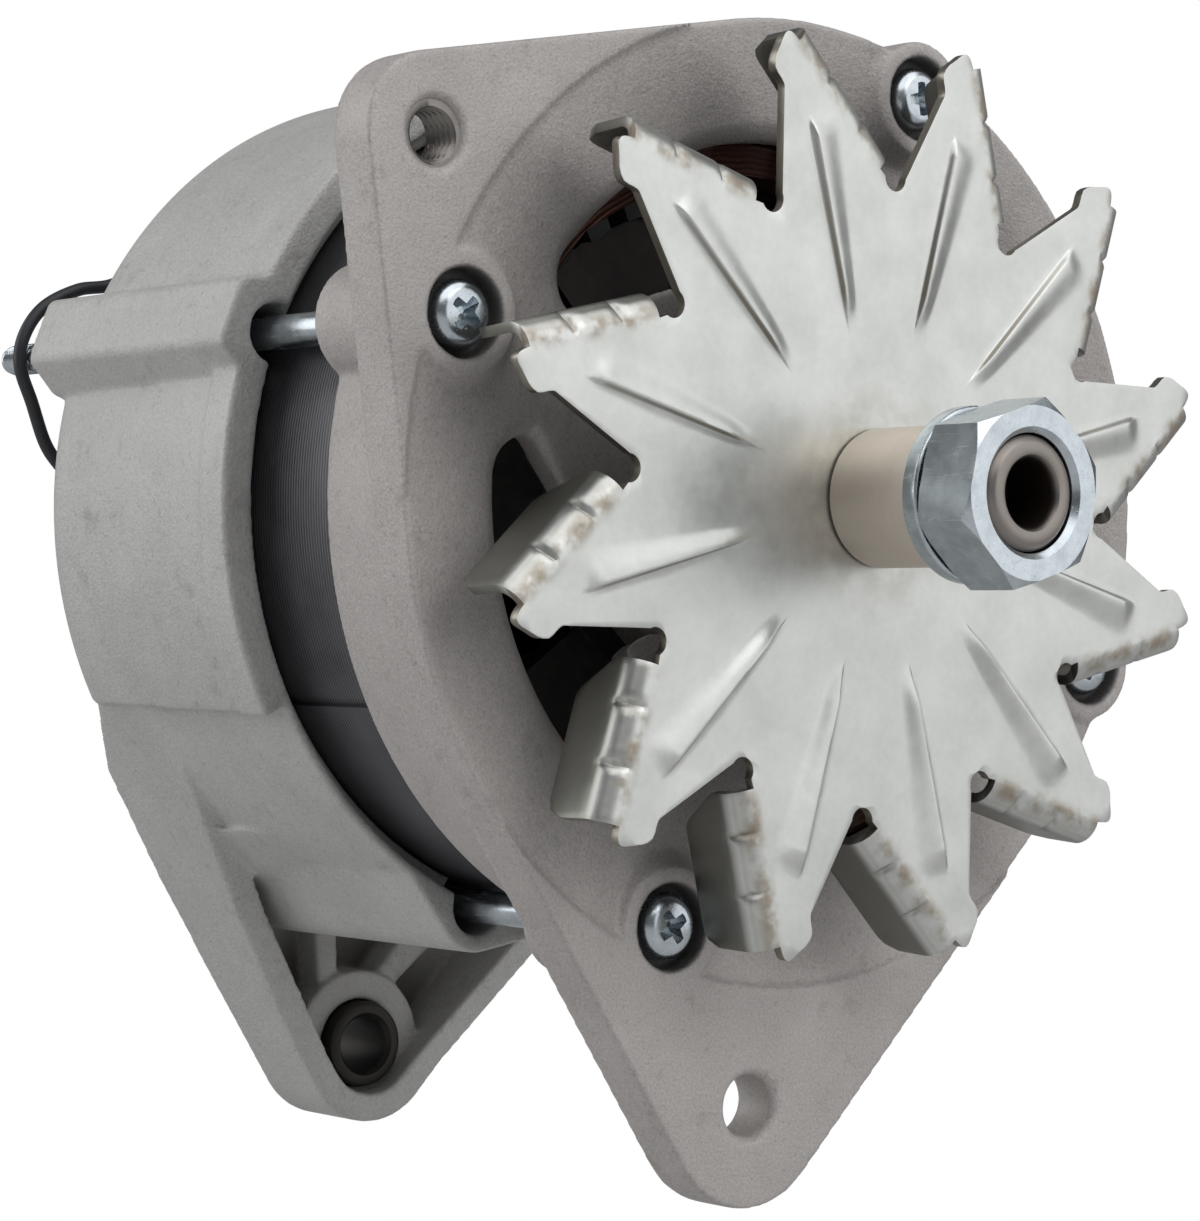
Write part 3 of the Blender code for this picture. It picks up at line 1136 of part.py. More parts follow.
def pan_screw(name, centre, head):
    """A small pan-head screw from the rear into the end wall."""
    Piece(name, lathe(
        [(0.0, DRUM_REAR - END_WALL), (1.6, DRUM_REAR - END_WALL), (1.6, head), (3.5, head),
         (3.2, head + 1.8),
         (0.0, head + 2.3)], 10, centre), ZINC, smooth=30)


def smooth_route(points, spacing):
    """Evenly spaced points on a smooth curve through a route's points."""
    route = [Vector(point) for point in points]
    ends = [2 * route[0] - route[1]] + route + [2 * route[-1] - route[-2]]
    fine = []
    for a, b, c, d in zip(ends, ends[1:], ends[2:], ends[3:]):
        for step in range(20):
            t = step / 20
            bend = (2 * a - 5 * b + 4 * c - d) * t * t + (3 * b - a - 3 * c + d) * t ** 3
            fine.append(0.5 * (2 * b + (c - a) * t + bend))
    fine.append(route[-1])
    kept = [fine[0]]
    for point in fine[1:-1]:
        if (point - kept[-1]).length >= spacing:
            kept.append(point)
    if (fine[-1] - kept[-1]).length < spacing / 2:
        kept.pop()
    return kept + [fine[-1]]


def capacitor_lead(terminal_face):
    """From the capacitor's top, out round the end of the first long bolt and back to the stud."""
    x, y = capacitor_at()
    high = CAPACITOR_Z[1] + 1.6 + GAP
    over = terminal_face + GAP + LEAD_RADIUS
    route = [(x, y, high), (x, y, high + 3.6), (x - 3.0, y + 1.4, high + 5.8),
             (x - 10.0, y + 2.9, high + 2.2),
             (-51.0, 113.3, 32.0), (-58.5, 113.3, 29.4), (-64.4, 113.3, 25.6), (-67.4, 113.3, 20.6),
             (-67.6, 113.3, 15.6), (-64.8, 113.3, 10.0), (-62.0, 113.3, 4.4), (-59.6, 113.0, 1.4),
             (-56.4, 112.0, -1.4), (STUD[0] - 8.0, over, STUD[1] + 1.9)]
    curve = bpy.data.curves.new("capacitor_lead", "CURVE")
    curve.dimensions = "3D"
    curve.bevel_depth = LEAD_RADIUS * MM
    curve.bevel_resolution = 2
    curve.use_fill_caps = True
    points = smooth_route(route, 4 * LEAD_RADIUS)
    spline = curve.splines.new("POLY")
    spline.points.add(len(points) - 1)
    for slot, point in zip(spline.points, points):
        slot.co = (*(point * MM), 1.0)
    curve.materials.append(RUBBER)
    lead = bpy.data.objects.new("capacitor_lead", curve)
    bpy.context.collection.objects.link(lead)
    lead.location = (0.0, 0.0, PIVOT_DROP * MM)


# Assembly

drive_end_bracket()
slip_ring_end_bracket()
stator_core()
stator_winding()
through_bolts()
pivot_bush()
bearing("front", FRONT_BEARING)
bearing("rear", REAR_BEARING)
bearing_retainer()
rotor_shaft()
claw_pole("claw_pole_front", POLE_FRONT, 1.0, 0.0)
claw_pole("claw_pole_rear", POLE_REAR, -1.0, 180.0 / FINGERS)
field_winding()
slip_rings()
nose_stack()
fan()
brush_holder()
for screw_number, screw_x in enumerate(holder_screws(), 1):
    pan_screw(f"holder_screw_{screw_number}", (screw_x, holder_centre()), DRUM_REAR + 2 * GAP + 3.0)
brushes()
rectifier()
terminal_top = output_terminal()
capacitor()
capacitor_lead(terminal_top)


def axis_empty(name, y, z=0.0):
    """An empty on a moving body's axis, which its pieces hang on."""
    empty = bpy.data.objects.new(name, None)
    empty.empty_display_size = 0.01
    empty.location = (0.0, y * MM, (z + PIVOT_DROP) * MM)
    bpy.context.collection.objects.link(empty)
    return empty


def hang(empty, *names):
    for name in names:
        piece = bpy.data.objects[name]
        piece.parent = empty
        piece.matrix_parent_inverse = Matrix.Translation(-empty.location)


hang(axis_empty("rotor_axis", 0.0), "rotor_shaft", "claw_pole_front", "claw_pole_rear", "coil_bobbin",
     "field_coil",
     "slip_ring_insulator", "slip_ring_inner", "slip_ring_outer", "front_bearing_inner_race",
     "rear_bearing_inner_race",
     "fan_spacer", "fan", "pulley_spacer", "spring_washer", "shaft_nut")
hang(axis_empty("front_cage_axis", FRONT_BEARING["front"]), "front_bearing_ball_cage")
hang(axis_empty("rear_cage_axis", REAR_BEARING["front"]), "rear_bearing_ball_cage")
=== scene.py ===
# %% [markdown]
# # A generator alternator head, dressed for its picture
# The solid model holds every piece at its real size. This lesson loads it and builds finer versions of what
# the camera sees: two blasted castings, a pressed steel fan, the nut and washer on the shaft's nose, four
# cross-head bolts and a loop of lead. Most hidden pieces keep their solids and get a finish of their own.

# %% Open the solid model
import math

import bmesh
import bpy
from mathutils import Matrix, Vector


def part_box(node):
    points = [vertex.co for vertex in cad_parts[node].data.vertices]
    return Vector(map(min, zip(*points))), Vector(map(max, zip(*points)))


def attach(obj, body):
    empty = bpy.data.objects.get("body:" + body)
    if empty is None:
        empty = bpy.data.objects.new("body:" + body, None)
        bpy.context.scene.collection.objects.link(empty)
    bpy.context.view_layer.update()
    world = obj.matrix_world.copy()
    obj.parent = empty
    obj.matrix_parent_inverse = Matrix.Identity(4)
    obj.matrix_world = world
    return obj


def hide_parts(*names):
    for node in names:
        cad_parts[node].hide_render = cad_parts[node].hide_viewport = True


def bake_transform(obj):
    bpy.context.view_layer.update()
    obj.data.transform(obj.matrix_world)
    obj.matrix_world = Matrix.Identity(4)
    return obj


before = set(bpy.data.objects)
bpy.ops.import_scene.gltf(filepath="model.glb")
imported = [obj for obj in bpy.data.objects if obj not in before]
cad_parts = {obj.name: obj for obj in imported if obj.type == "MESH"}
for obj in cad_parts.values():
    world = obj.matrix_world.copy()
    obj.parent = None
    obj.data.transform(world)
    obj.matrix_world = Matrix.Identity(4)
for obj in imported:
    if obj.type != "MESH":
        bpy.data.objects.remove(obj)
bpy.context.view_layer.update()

# %% [markdown]
# ## Where things are
# The machine is round about its shaft, so outlines are drawn in millimetres about that axis: X to the right,
# Y to the rear, Z up. The shaft's height and the bolts' places are read from the solids, not typed again.

# %% Places read from the solids
MM = 0.001


def middle_of(node):
    """A node's middle in millimetres, as X, Y and the height above the pivot bolt."""
    low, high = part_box(node)
    return (low + high) / 2 / MM


def reach_of(node):
    """A node's first and last Y in millimetres."""
    low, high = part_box(node)
    return low.y / MM, high.y / MM


SHAFT = middle_of("pulley_spacer").z
bolt_middles = [middle_of(f"through_bolt_{number}") for number in (1, 2, 3, 4)]
BOLTS = [(spot.x, spot.z - SHAFT) for spot in bolt_middles]
BOLT_ANGLES = [math.degrees(math.atan2(z, x)) for x, z in BOLTS]
PIVOT = (0.0, -SHAFT)
print("shaft", round(SHAFT, 2), "mm above the pivot bolt")
print("long bolts at", [round(angle, 1) for angle in BOLT_ANGLES], "degrees")

# %% [markdown]
# ## Drawing tools
# Four moves make nearly every metal part here: turn a profile, push an outline straight through, stretch a
# belt round some circles, or skin a row of sections. Solids are then added and cut. A casting is re-skinned
# on a half-millimetre grid and smoothed at the end, so each sharp corner gets the radius of a die-cast one.

# %% Turning, pushing, belting and skinning


def at(angle, radius):
    """The X and Z of a point at an angle in degrees about the shaft."""
    spin = math.radians(angle)
    return radius * math.cos(spin), radius * math.sin(spin)


def tube(mesh, rings, closed=False):
    """Faces between neighbouring rings of vertices; a closed tube runs back into its first ring."""
    following = rings[1:] + rings[:1] if closed else rings[1:]
    for one, two in zip(rings, following):
        for a in range(len(one)):
            b = (a + 1) % len(one)
            mesh.faces.new((one[a], one[b], two[b], two[a]))


def skin(sections, mesh=None):
    """Joins rings that have the same number of points and closes both ends."""
    mesh = mesh or bmesh.new()
    rings = [[mesh.verts.new(point) for point in section] for section in sections]
    tube(mesh, rings)
    mesh.faces.new(rings[0])
    mesh.faces.new(rings[-1][::-1])
    return mesh


def turn(profile, steps=144, centre=(0.0, 0.0), mesh=None):
    """Turns a closed outline of (radius, y) about an axis along Y."""
    mesh = mesh or bmesh.new()
    rows = []
    for radius, y in profile:
        if radius < 1e-6:
            rows.append([mesh.verts.new((centre[0], y, centre[1]))] * steps)
            continue
        ring = [at(360.0 * step / steps, radius) for step in range(steps)]
        rows.append([mesh.verts.new((centre[0] + dx, y, centre[1] + dz)) for dx, dz in ring])
    for one, two in zip(rows, rows[1:] + rows[:1]):
        for a in range(steps):
            b = (a + 1) % steps
            corners = list(dict.fromkeys((one[a], one[b], two[b], two[a])))
            if len(corners) > 2:
                mesh.faces.new(corners)
    return mesh


def rod(radius, front, rear, centre=(0.0, 0.0), steps=64, mesh=None):
    """A plain round bar along Y."""
    return turn([(0.0, front), (radius, front), (radius, rear), (0.0, rear)], steps, centre, mesh)


def prism(outline, front, rear, mesh=None):
    """Pushes an outline of (x, z) through along Y."""
    return skin([[(x, y, z) for x, z in outline] for y in (front, rear)], mesh)


def side_prism(outline, left, right):
    """Pushes an outline of (y, z) through along X."""
    return skin([[(x, y, z) for y, z in outline] for x in (left, right)])


def block(low, high, mesh=None):
    """A box between two corners."""
    outline = [(low[0], low[2]), (high[0], low[2]), (high[0], high[2]), (low[0], high[2])]
    return prism(outline, low[1], high[1], mesh)


def belt(circles, front, rear, steps=144):
    """The solid inside a belt round circles of (x, z, radius)."""
    mesh = bmesh.new()
    for x, z, radius in circles:
        for step in range(steps):
            dx, dz = at(360.0 * step / steps, radius)
            mesh.verts.new((x + dx, front, z + dz))
            mesh.verts.new((x + dx, rear, z + dz))
    made = bmesh.ops.convex_hull(mesh, input=mesh.verts)
    loose = [v for v in made["geom_interior"] + made["geom_unused"] if isinstance(v, bmesh.types.BMVert)]
    bmesh.ops.delete(mesh, geom=list(set(loose)), context="VERTS")
    bmesh.ops.dissolve_limit(mesh, angle_limit=0.004, verts=mesh.verts, edges=mesh.edges)
    return mesh


def turned(outline, angle):
    """An outline drawn for angle 0, turned about the shaft."""
    c, s = math.cos(math.radians(angle)), math.sin(math.radians(angle))
    return [(x * c - z * s, x * s + z * c) for x, z in outline]


def rounded_sector(inner, outer, start, end, corner):
    """A slice of a ring as (x, z), with a round at each corner."""
    outline = []
    for radius, side, first, last in ((outer - corner, 0.0, start, end), (inner + corner, 180.0, end, start)):
        way = 1.0 if last > first else -1.0
        inset = way * math.degrees(corner / radius)
        begin, finish = first + inset, last - inset
        for step in range(9):
            dx, dz = at(begin + side - way * 90.0 * (1 - step / 8), corner)
            cx, cz = at(begin, radius)
            outline.append((cx + dx, cz + dz))
        for step in range(1, 12):
            reach = radius + (corner if side == 0.0 else -corner)
            outline.append(at(begin + (finish - begin) * step / 12, reach))
        for step in range(9):
            dx, dz = at(finish + side + way * 90.0 * step / 8, corner)
            cx, cz = at(finish, radius)
            outline.append((cx + dx, cz + dz))
    return outline


print("drawing tools: skin, turn, rod, prism, side_prism, block, belt, rounded_sector")

# %% [markdown]
# ## From outline to object
# A shape becomes an object on its way into the scene: millimetres turn into metres and the shaft moves up to
# its real height. A helper joins and cuts whole lists of shapes with Booleans and keeps the final skin only.

# %% Objects, cutting and softening
SMOOTHING_ROUNDS = 12


def place(name, mesh, finish=None, smooth=35.0):
    """An object made of a mesh drawn in millimetres about the shaft."""
    data = bpy.data.meshes.new(name)
    bmesh.ops.recalc_face_normals(mesh, faces=mesh.faces)
    bmesh.ops.scale(mesh, verts=mesh.verts, vec=(MM, MM, MM))
    bmesh.ops.translate(mesh, verts=mesh.verts, vec=(0.0, 0.0, SHAFT * MM))
    mesh.to_mesh(data)
    mesh.free()
    made = bpy.data.objects.new(name, data)
    bpy.context.collection.objects.link(made)
    data.shade_smooth()
    if smooth:
        data.set_sharp_from_angle(angle=math.radians(smooth))
    if finish:
        data.materials.append(finish)
    return made


def settle(made):
    """Keeps what an object's modifiers make of it as its own mesh."""
    bpy.context.view_layer.update()
    final = bpy.data.meshes.new_from_object(made.evaluated_get(bpy.context.evaluated_depsgraph_get()))
    made.modifiers.clear()
    made.data = final
    return made


def carve(name, blank, steps, finish, grid=0.0, smooth=35.0):
    """Adds and cuts shapes in turn, re-skins the result on a grid in millimetres, and smooths it."""
    made = place(name, blank, finish, smooth)
    tools = []
    for operation, shape in steps:
        tool = place("tool", shape)
        tools.append(tool)
        step = made.modifiers.new(operation, "BOOLEAN")
        step.operation, step.object, step.solver = operation, tool, "MANIFOLD"
    if grid:
        skin_step = made.modifiers.new("skin", "REMESH")
        skin_step.mode, skin_step.voxel_size, skin_step.use_smooth_shade = "VOXEL", grid * MM, True
        soft = made.modifiers.new("soft", "SMOOTH")
        soft.factor, soft.iterations = 0.5, SMOOTHING_ROUNDS
    settle(made)
    for tool in tools:
        bpy.data.objects.remove(tool, do_unlink=True)
    if not grid:
        made.data.shade_smooth()
        made.data.set_sharp_from_angle(angle=math.radians(smooth))
    print(name, len(made.data.polygons), "faces")
    return made


ADD, CUT, KEEP = "UNION", "DIFFERENCE", "INTERSECT"


def as_mesh(name, blank, steps):
    """What a list of cuts leaves, back in millimetres about the shaft for the next cut."""
    made = carve(name, blank, steps, None)
    mesh = bmesh.new()
    mesh.from_mesh(made.data)
    bpy.data.objects.remove(made, do_unlink=True)
    bmesh.ops.translate(mesh, verts=mesh.verts, vec=(0.0, 0.0, -SHAFT * MM))
    bmesh.ops.scale(mesh, verts=mesh.verts, vec=(1 / MM, 1 / MM, 1 / MM))
    return mesh


def stand_for(made, node, body):
    """Shows this piece in the place of the solid it refines."""
    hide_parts(node)
    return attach(made, body)


print("carve adds with", ADD, "cuts with", CUT, "and keeps with", KEEP)

# %% [markdown]
# ## A finish as arithmetic
# A procedural finish is a sum of small effects: grain, slow cloudiness, streaks, stains. Writing it as plain
# arithmetic keeps it readable, so one small class wraps a node's output and lets Python's operators add the
# Math nodes. Everything is measured in millimetres about the shaft, so a grain size is a real size.

# %% A shader value with operators
MIX_FACTOR, MIX_FIRST, MIX_SECOND, MIX_COLOUR = 0, 6, 7, 2


class Value:
    """One output in a material's node tree; arithmetic on it adds Math nodes."""

    def __init__(self, tree, socket):
        self.tree, self.socket = tree, socket

    def node(self, kind, inputs=None, output=0, **settings):
        """Any other node, by its type, its settings, and its inputs' values or links."""
        made = self.tree.nodes.new(kind)
        for name, value in settings.items():
            setattr(made, name, value)
        for name, value in (inputs or {}).items():
            if isinstance(value, Value):
                self.tree.links.new(value.socket, made.inputs[name])
            else:
                made.inputs[name].default_value = value
        return Value(self.tree, made.outputs[output])

    def math(self, operation, *others, clamp=False):
        """One Math node on this value and any others."""
        values = dict(enumerate((self, *others)))
        return self.node("ShaderNodeMath", values, operation=operation, use_clamp=clamp)

    def __add__(self, other):
        return self.math("ADD", other)

    __radd__ = __add__

    def __sub__(self, other):
        return self.math("SUBTRACT", other)

    def __rsub__(self, other):
        return self * -1.0 + other

    def __mul__(self, other):
        return self.math("MULTIPLY", other)

    __rmul__ = __mul__

    def __pow__(self, other):
        return self.math("POWER", other)

    def clamp(self):
        return self.math("ADD", 0.0, clamp=True)

    def between(self, low, high):
        """0 at low, 1 at high, smooth between."""
        return self.node("ShaderNodeMapRange", {"Value": self, "From Min": low, "From Max": high},
                         interpolation_type="SMOOTHSTEP")

    def mix(self, a, b):
        """The colour a where this is 0, and b where it is 1."""
        colours = {MIX_FACTOR: self}
        for slot, colour in ((MIX_FIRST, a), (MIX_SECOND, b)):
            colours[slot] = colour if isinstance(colour, Value) else (*colour, 1.0)
        return self.node("ShaderNodeMix", colours, output=MIX_COLOUR, data_type="RGBA")


class Finish:
    """A Principled material: plain values sit on the shader, varying ones are linked to it."""

    def __init__(self, name, **plain):
        self.material = bpy.data.materials.new(name)
        self.material.use_nodes = True
        self.tree = self.material.node_tree
        self.shader = self.tree.nodes["Principled BSDF"]
        for label, value in plain.items():
            socket = label.replace("_", " ").title().replace("Ior", "IOR")
            self.shader.inputs[socket].default_value = value
        start = Value(self.tree, None)
        here = start.node("ShaderNodeTexCoord", output="Object")
        scaled = here.node("ShaderNodeVectorMath", {0: here, "Scale": 1 / MM}, operation="SCALE")
        about_shaft = {0: scaled, 1: (0.0, 0.0, SHAFT)}
        self.place = scaled.node("ShaderNodeVectorMath", about_shaft, operation="SUBTRACT")
        axes = [self.place.node("ShaderNodeSeparateXYZ", {0: self.place}, output=axis) for axis in "XYZ"]
        self.x, self.y, self.z = axes
        self.radius = (self.x * self.x + self.z * self.z) ** 0.5

    def noise(self, size, detail=3.0, stretch=None, rough=0.55):
        """Cloudiness with lumps about this many millimetres across."""
        place = self.place
        if stretch:
            place = place.node("ShaderNodeVectorMath", {0: place, 1: stretch}, operation="MULTIPLY")
        settings = {"Vector": place, "Scale": 1.0 / size, "Detail": detail, "Roughness": rough}
        return place.node("ShaderNodeTexNoise", settings)

    def facing_front(self):
        """1 where the surface looks forward or back along the shaft, 0 where it looks sideways."""
        normal = self.place.node("ShaderNodeTexCoord", output="Normal")
        return normal.node("ShaderNodeSeparateXYZ", {0: normal}, output="Y").math("ABSOLUTE")

    def give(self, **varying):
        """Links what changes over the surface to the shader."""
        for label, value in varying.items():
            self.tree.links.new(value.socket, self.shader.inputs[label.replace("_", " ").title()])
        return self

    def bump(self, height, depth, strength=1.0):
        """Raises the surface by height times depth millimetres."""
        settings = {"Height": height, "Strength": strength, "Distance": depth * MM}
        return self.give(normal=height.node("ShaderNodeBump", settings))


print("materials are now written as sums")

# %% [markdown]
# ## Blasted castings
# Both brackets are die-cast aluminium, shot-blasted after trimming: a matt grey with a fine sparkle, cloudy
# where the metal froze at different speeds. The front one reads slightly pinker, so the two share one recipe
# with a colour each. The grain is about a fifth of a millimetre; the skin's waviness is a few millimetres.

# %% The castings' finish
BOSS_FACE, FOOT_BACK = 99.0, 110.3


def casting(name, dark, light, shade, shaded_pivot_pocket=False):
    """Blasted aluminium between two tones, with grime of a third where the cloud is thickest."""
    made = Finish(name, metallic=0.35, specular_ior_level=0.45)
    cloud = made.noise(16.0, 4.0, rough=0.6)
    grain = made.noise(0.42, 2.0)
    speck = made.noise(0.9, 1.0).between(0.62, 0.74)
    tone = (cloud * 0.6 + grain * 1.1 - 0.33).clamp()
    colour = tone.mix(dark, light)
    grime = (made.noise(5.5, 5.0, rough=0.7).between(0.55, 0.8) * 0.5 + speck * 0.25).clamp()
    colour = grime.mix(colour, shade)
    if shaded_pivot_pocket:
        # Painted shade: front-facing surfaces in the rear foot's pocket round the pivot boss are darkened,
        # most near the boss and deepest in.
        from_pivot = ((made.x - PIVOT[0]) ** 2.0 + (made.z - PIVOT[1]) ** 2.0) ** 0.5
        shallow = made.y.between(BOSS_FACE - 6.0, BOSS_FACE) * 0.25
        deep = shallow + made.y.between(BOSS_FACE + 0.5, BOSS_FACE + 4.0) * 0.75
        inside = made.y.between(FOOT_BACK - 1.5, FOOT_BACK - 3.5)
        pocket_shade = from_pivot.between(34.0, 14.0) * deep * inside * made.facing_front()
        colour = (pocket_shade * (0.75 + cloud * 0.4)).clamp().mix(colour, (0.05, 0.045, 0.038))
    else:
        # Painted shade: a dark ring at the edge of each bolt head's recess, where the gap round the head lies
        # in shadow.
        from_bolt = [((made.x - x) ** 2.0 + (made.z - z) ** 2.0) ** 0.5 for x, z in BOLTS]
        near = from_bolt[0]
        for distance in from_bolt[1:]:
            near = near.math("MINIMUM", distance)
        colour = (near.between(7.0, 6.1) * 0.85).mix(colour, (0.04, 0.037, 0.035))
    made.give(base_color=colour, roughness=0.50 + grain * 0.22 + grime * 0.1)
    return made.bump(grain * 1.0 + made.noise(1.6, 2.0) * 0.8 + made.noise(7.0, 2.0) * 1.2, 0.12).material


CAST_FRONT = casting("blasted_aluminium_front", (0.32, 0.297, 0.287), (0.61, 0.578, 0.563),
                     (0.22, 0.20, 0.185))
CAST_REAR = casting("blasted_aluminium_rear", (0.37, 0.365, 0.352), (0.63, 0.625, 0.61), (0.25, 0.24, 0.22),
                    shaded_pivot_pocket=True)
print("castings:", CAST_FRONT.name, "and", CAST_REAR.name)

# %% [markdown]
# ## Plated and bright steel
# The bolts, nut and washer are zinc-plated with a blue passivate: mirror-like but faintly cloudy. The fan is
# the same plating on sheet, dulled by the press tool. Where the sheet is folded the plating cracks and tea-
# coloured rust stains show, so the stain follows the fold's real line on each of the twelve blades.

# %% Zinc, fan sheet and steel
FAN_FIRST_RIB, FAN_FACE = 140.0, -16.7
BLADES = 12
PITCH = 360.0 / BLADES
ROOT_TRAIL = 17.7
FOLD_START = (45.8, -11.35)
FOLD_WAY = (0.876, 0.482)


def zinc(name, dark, light, rough, cloud_size=3.0):
    """Plating or bright steel: cloudy, with fine scratches along Y."""
    made = Finish(name, metallic=1.0)
    cloud = made.noise(cloud_size, 4.0, rough=0.65)
    scratch = made.noise(0.5, 2.0, stretch=(1.0, 0.06, 1.0)).between(0.6, 0.72)
    made.give(base_color=(cloud * 1.2 - 0.1).clamp().mix(dark, light),
              roughness=rough + cloud * 0.16 + scratch * 0.12)
    return made.bump(cloud + scratch * 0.4, 0.02).material


ZINC = zinc("blue_passivated_zinc", (0.34, 0.38, 0.41), (0.70, 0.76, 0.80), 0.17)
STEEL = zinc("bright_turned_steel", (0.42, 0.42, 0.43), (0.62, 0.62, 0.63), 0.22)


def fan_sheet_finish():
    """Plated sheet; u runs along a blade's rib and v across it, as the fold is drawn."""
    made = Finish("fan_sheet_zinc", metallic=0.9)
    swing = made.z.math("ARCTAN2", made.x) * (180.0 / math.pi)
    swing = (swing - FAN_FIRST_RIB + ROOT_TRAIL + 720.0).math("MODULO", PITCH) - ROOT_TRAIL
    u = made.radius * (swing * (math.pi / 180.0)).math("COSINE")
    v = made.radius * (swing * (math.pi / 180.0)).math("SINE")
    off = (u - FOLD_START[0]) * FOLD_WAY[1] - (v - FOLD_START[1]) * FOLD_WAY[0]
    along = (u - FOLD_START[0]) * FOLD_WAY[0] + (v - FOLD_START[1]) * FOLD_WAY[1]
    band = (off - 0.9).math("ABSOLUTE").between(2.4, 0.2) * along.between(-2.0, 3.0)
    blotch = made.noise(4.2, 3.0)
    stain = band * blotch.between(0.38, 0.66) * 0.7
    stain = (stain + made.noise(6.0, 5.0, rough=0.7).between(0.66, 0.8) * 0.25).clamp()
    cloud = made.noise(9.0, 4.0)
    brush = made.noise(1.4, 3.0)
    tone = (cloud * 1.1 + brush * 0.35 - 0.22).clamp()
    facing = made.facing_front()
    cut = facing.between(0.75, 0.35) * made.y.between(FAN_FACE + 1.9, FAN_FACE + 1.3)
    # The folded walls behind the sheet's face are darkened: partly their dull, stained plating, partly
    # painted shade.
    wall = made.y.between(FAN_FACE + 1.4, FAN_FACE + 3.6)
    hub = made.radius.between(19.0, 10.5) * made.noise(4.0, 4.0).between(0.3, 0.7)
    colour = stain.mix(tone.mix((0.46, 0.47, 0.445), (0.76, 0.77, 0.75)), (0.27, 0.20, 0.12))
    colour = (cut * 0.75 + hub * 0.3).clamp().mix(colour, (0.22, 0.19, 0.14))
    colour = (wall * 0.72).mix(colour, (0.13, 0.13, 0.105))
    made.give(base_color=colour, roughness=0.24 + cloud * 0.14 + brush * 0.08 + stain * 0.3)
    return made.bump(brush * 0.6 + cloud + blotch * stain, 0.03).material


FAN_SHEET = fan_sheet_finish()
print("plated:", ZINC.name, FAN_SHEET.name)

# %% [markdown]
# ## The other metals, the iron and the plastics
# Each hidden piece gets what it is made of as well: the sleeve has fine turning marks round it, the stator
# is a stack of stamped sheets edge-on under thin lacquer, and the windings are dipped in red-brown varnish.

# %% The remaining finishes


def turned_steel(name, dark, light, rough, shaded_socket=False):
    """A metal with fine turning marks round it."""
    made = Finish(name, metallic=0.85)
    rings = made.noise(0.22, 2.0, stretch=(0.04, 1.0, 0.04))
    cloud = made.noise(6.0, 4.0)
    colour = (rings * 0.5 + cloud * 0.6).clamp().mix(dark, light)
    if shaded_socket:
        # Painted shade: the inside of the socket in the shaft's nose is darkened.
        socket = made.radius.between(5.3, 4.8) * made.y.between(0.0, -20.0)
        colour = socket.mix(colour, (0.045, 0.034, 0.028))
    made.give(base_color=colour, roughness=rough + rings * 0.15 + cloud * 0.1)
    return made.bump(rings, 0.02).material


def lamination_stack():
    """Stamped sheets of half a millimetre seen edge-on, under a thin dark lacquer."""
    made = Finish("lacquered_laminations", metallic=0.55, coat_weight=0.25, coat_roughness=0.25)
    sheets = (made.y * (2.0 * math.pi / 0.65) + made.noise(14.0, 2.0) * 2.5).math("SINE") * 0.5 + 0.5
    patch = made.noise(7.0, 5.0, rough=0.65)
    colour = (sheets * 0.55 + patch * 0.55 - 0.1).clamp().mix((0.012, 0.012, 0.015), (0.17, 0.172, 0.185))
    made.give(base_color=colour, roughness=0.34 + patch * 0.2 + sheets * 0.08)
    return made.bump(sheets + patch * 0.6, 0.06).material


def varnished_copper():
    """Round enamelled wires laid side by side, soaked in varnish."""
    made = Finish("varnished_copper", metallic=0.5, coat_weight=0.5, coat_roughness=0.2)
    wires = ((made.radius + made.noise(5.0, 2.0) * 1.2) * (2.0 * math.pi / 0.9)).math("SINE") * 0.5 + 0.5
    patch = made.noise(4.0, 4.0)
    colour = (wires * 0.4 + patch * 0.5).clamp().mix((0.035, 0.010, 0.006), (0.16, 0.045, 0.02))
    made.give(base_color=colour, roughness=0.3 + patch * 0.25)
    return made.bump(wires, 0.25).material


def plain(name, dark, light, rough, metallic, size=2.5, depth=0.03, **more):
    """An even material, a little cloudy."""
    made = Finish(name, metallic=metallic, **more)
    cloud = made.noise(size, 4.0, rough=0.6)
    fine = made.noise(size / 9.0, 2.0)
    colour = (cloud * 0.8 + fine * 0.4 - 0.1).clamp().mix(dark, light)
    made.give(base_color=colour, roughness=rough + cloud * 0.15 + fine * 0.1)
    return made.bump(cloud + fine * 0.5, depth).material


SLEEVE_STEEL = turned_steel("turned_sleeve_steel", (0.62, 0.54, 0.455), (0.82, 0.745, 0.66), 0.38)
LAMINATION = lamination_stack()
COPPER = varnished_copper()
SHAFT_STEEL = turned_steel("shaft_steel", (0.19, 0.165, 0.145), (0.36, 0.33, 0.31), 0.26, shaded_socket=True)
BUSH_STEEL = turned_steel("oiled_bush_steel", (0.014, 0.013, 0.012), (0.055, 0.052, 0.048), 0.36)
POLE_IRON = plain("forged_pole_iron", (0.07, 0.066, 0.064), (0.19, 0.18, 0.175), 0.42, 0.8)
MOULDING = plain("black_moulding", (0.010, 0.010, 0.011), (0.030, 0.030, 0.032), 0.42, 0.0, 1.5)
CARBON = plain("brush_carbon", (0.025, 0.025, 0.026), (0.07, 0.07, 0.072), 0.55, 0.1, 0.8)
RING_COPPER = turned_steel("slip_ring_copper", (0.45, 0.18, 0.07), (0.72, 0.38, 0.20), 0.18)
CUT_ALUMINIUM = plain("cut_aluminium", (0.15, 0.14, 0.13), (0.34, 0.32, 0.30), 0.28, 0.9)
PVC = plain("lead_pvc", (0.008, 0.009, 0.012), (0.026, 0.029, 0.036), 0.36, 0.0, 3.0, 0.02)
print("finishes:", len(bpy.data.materials))

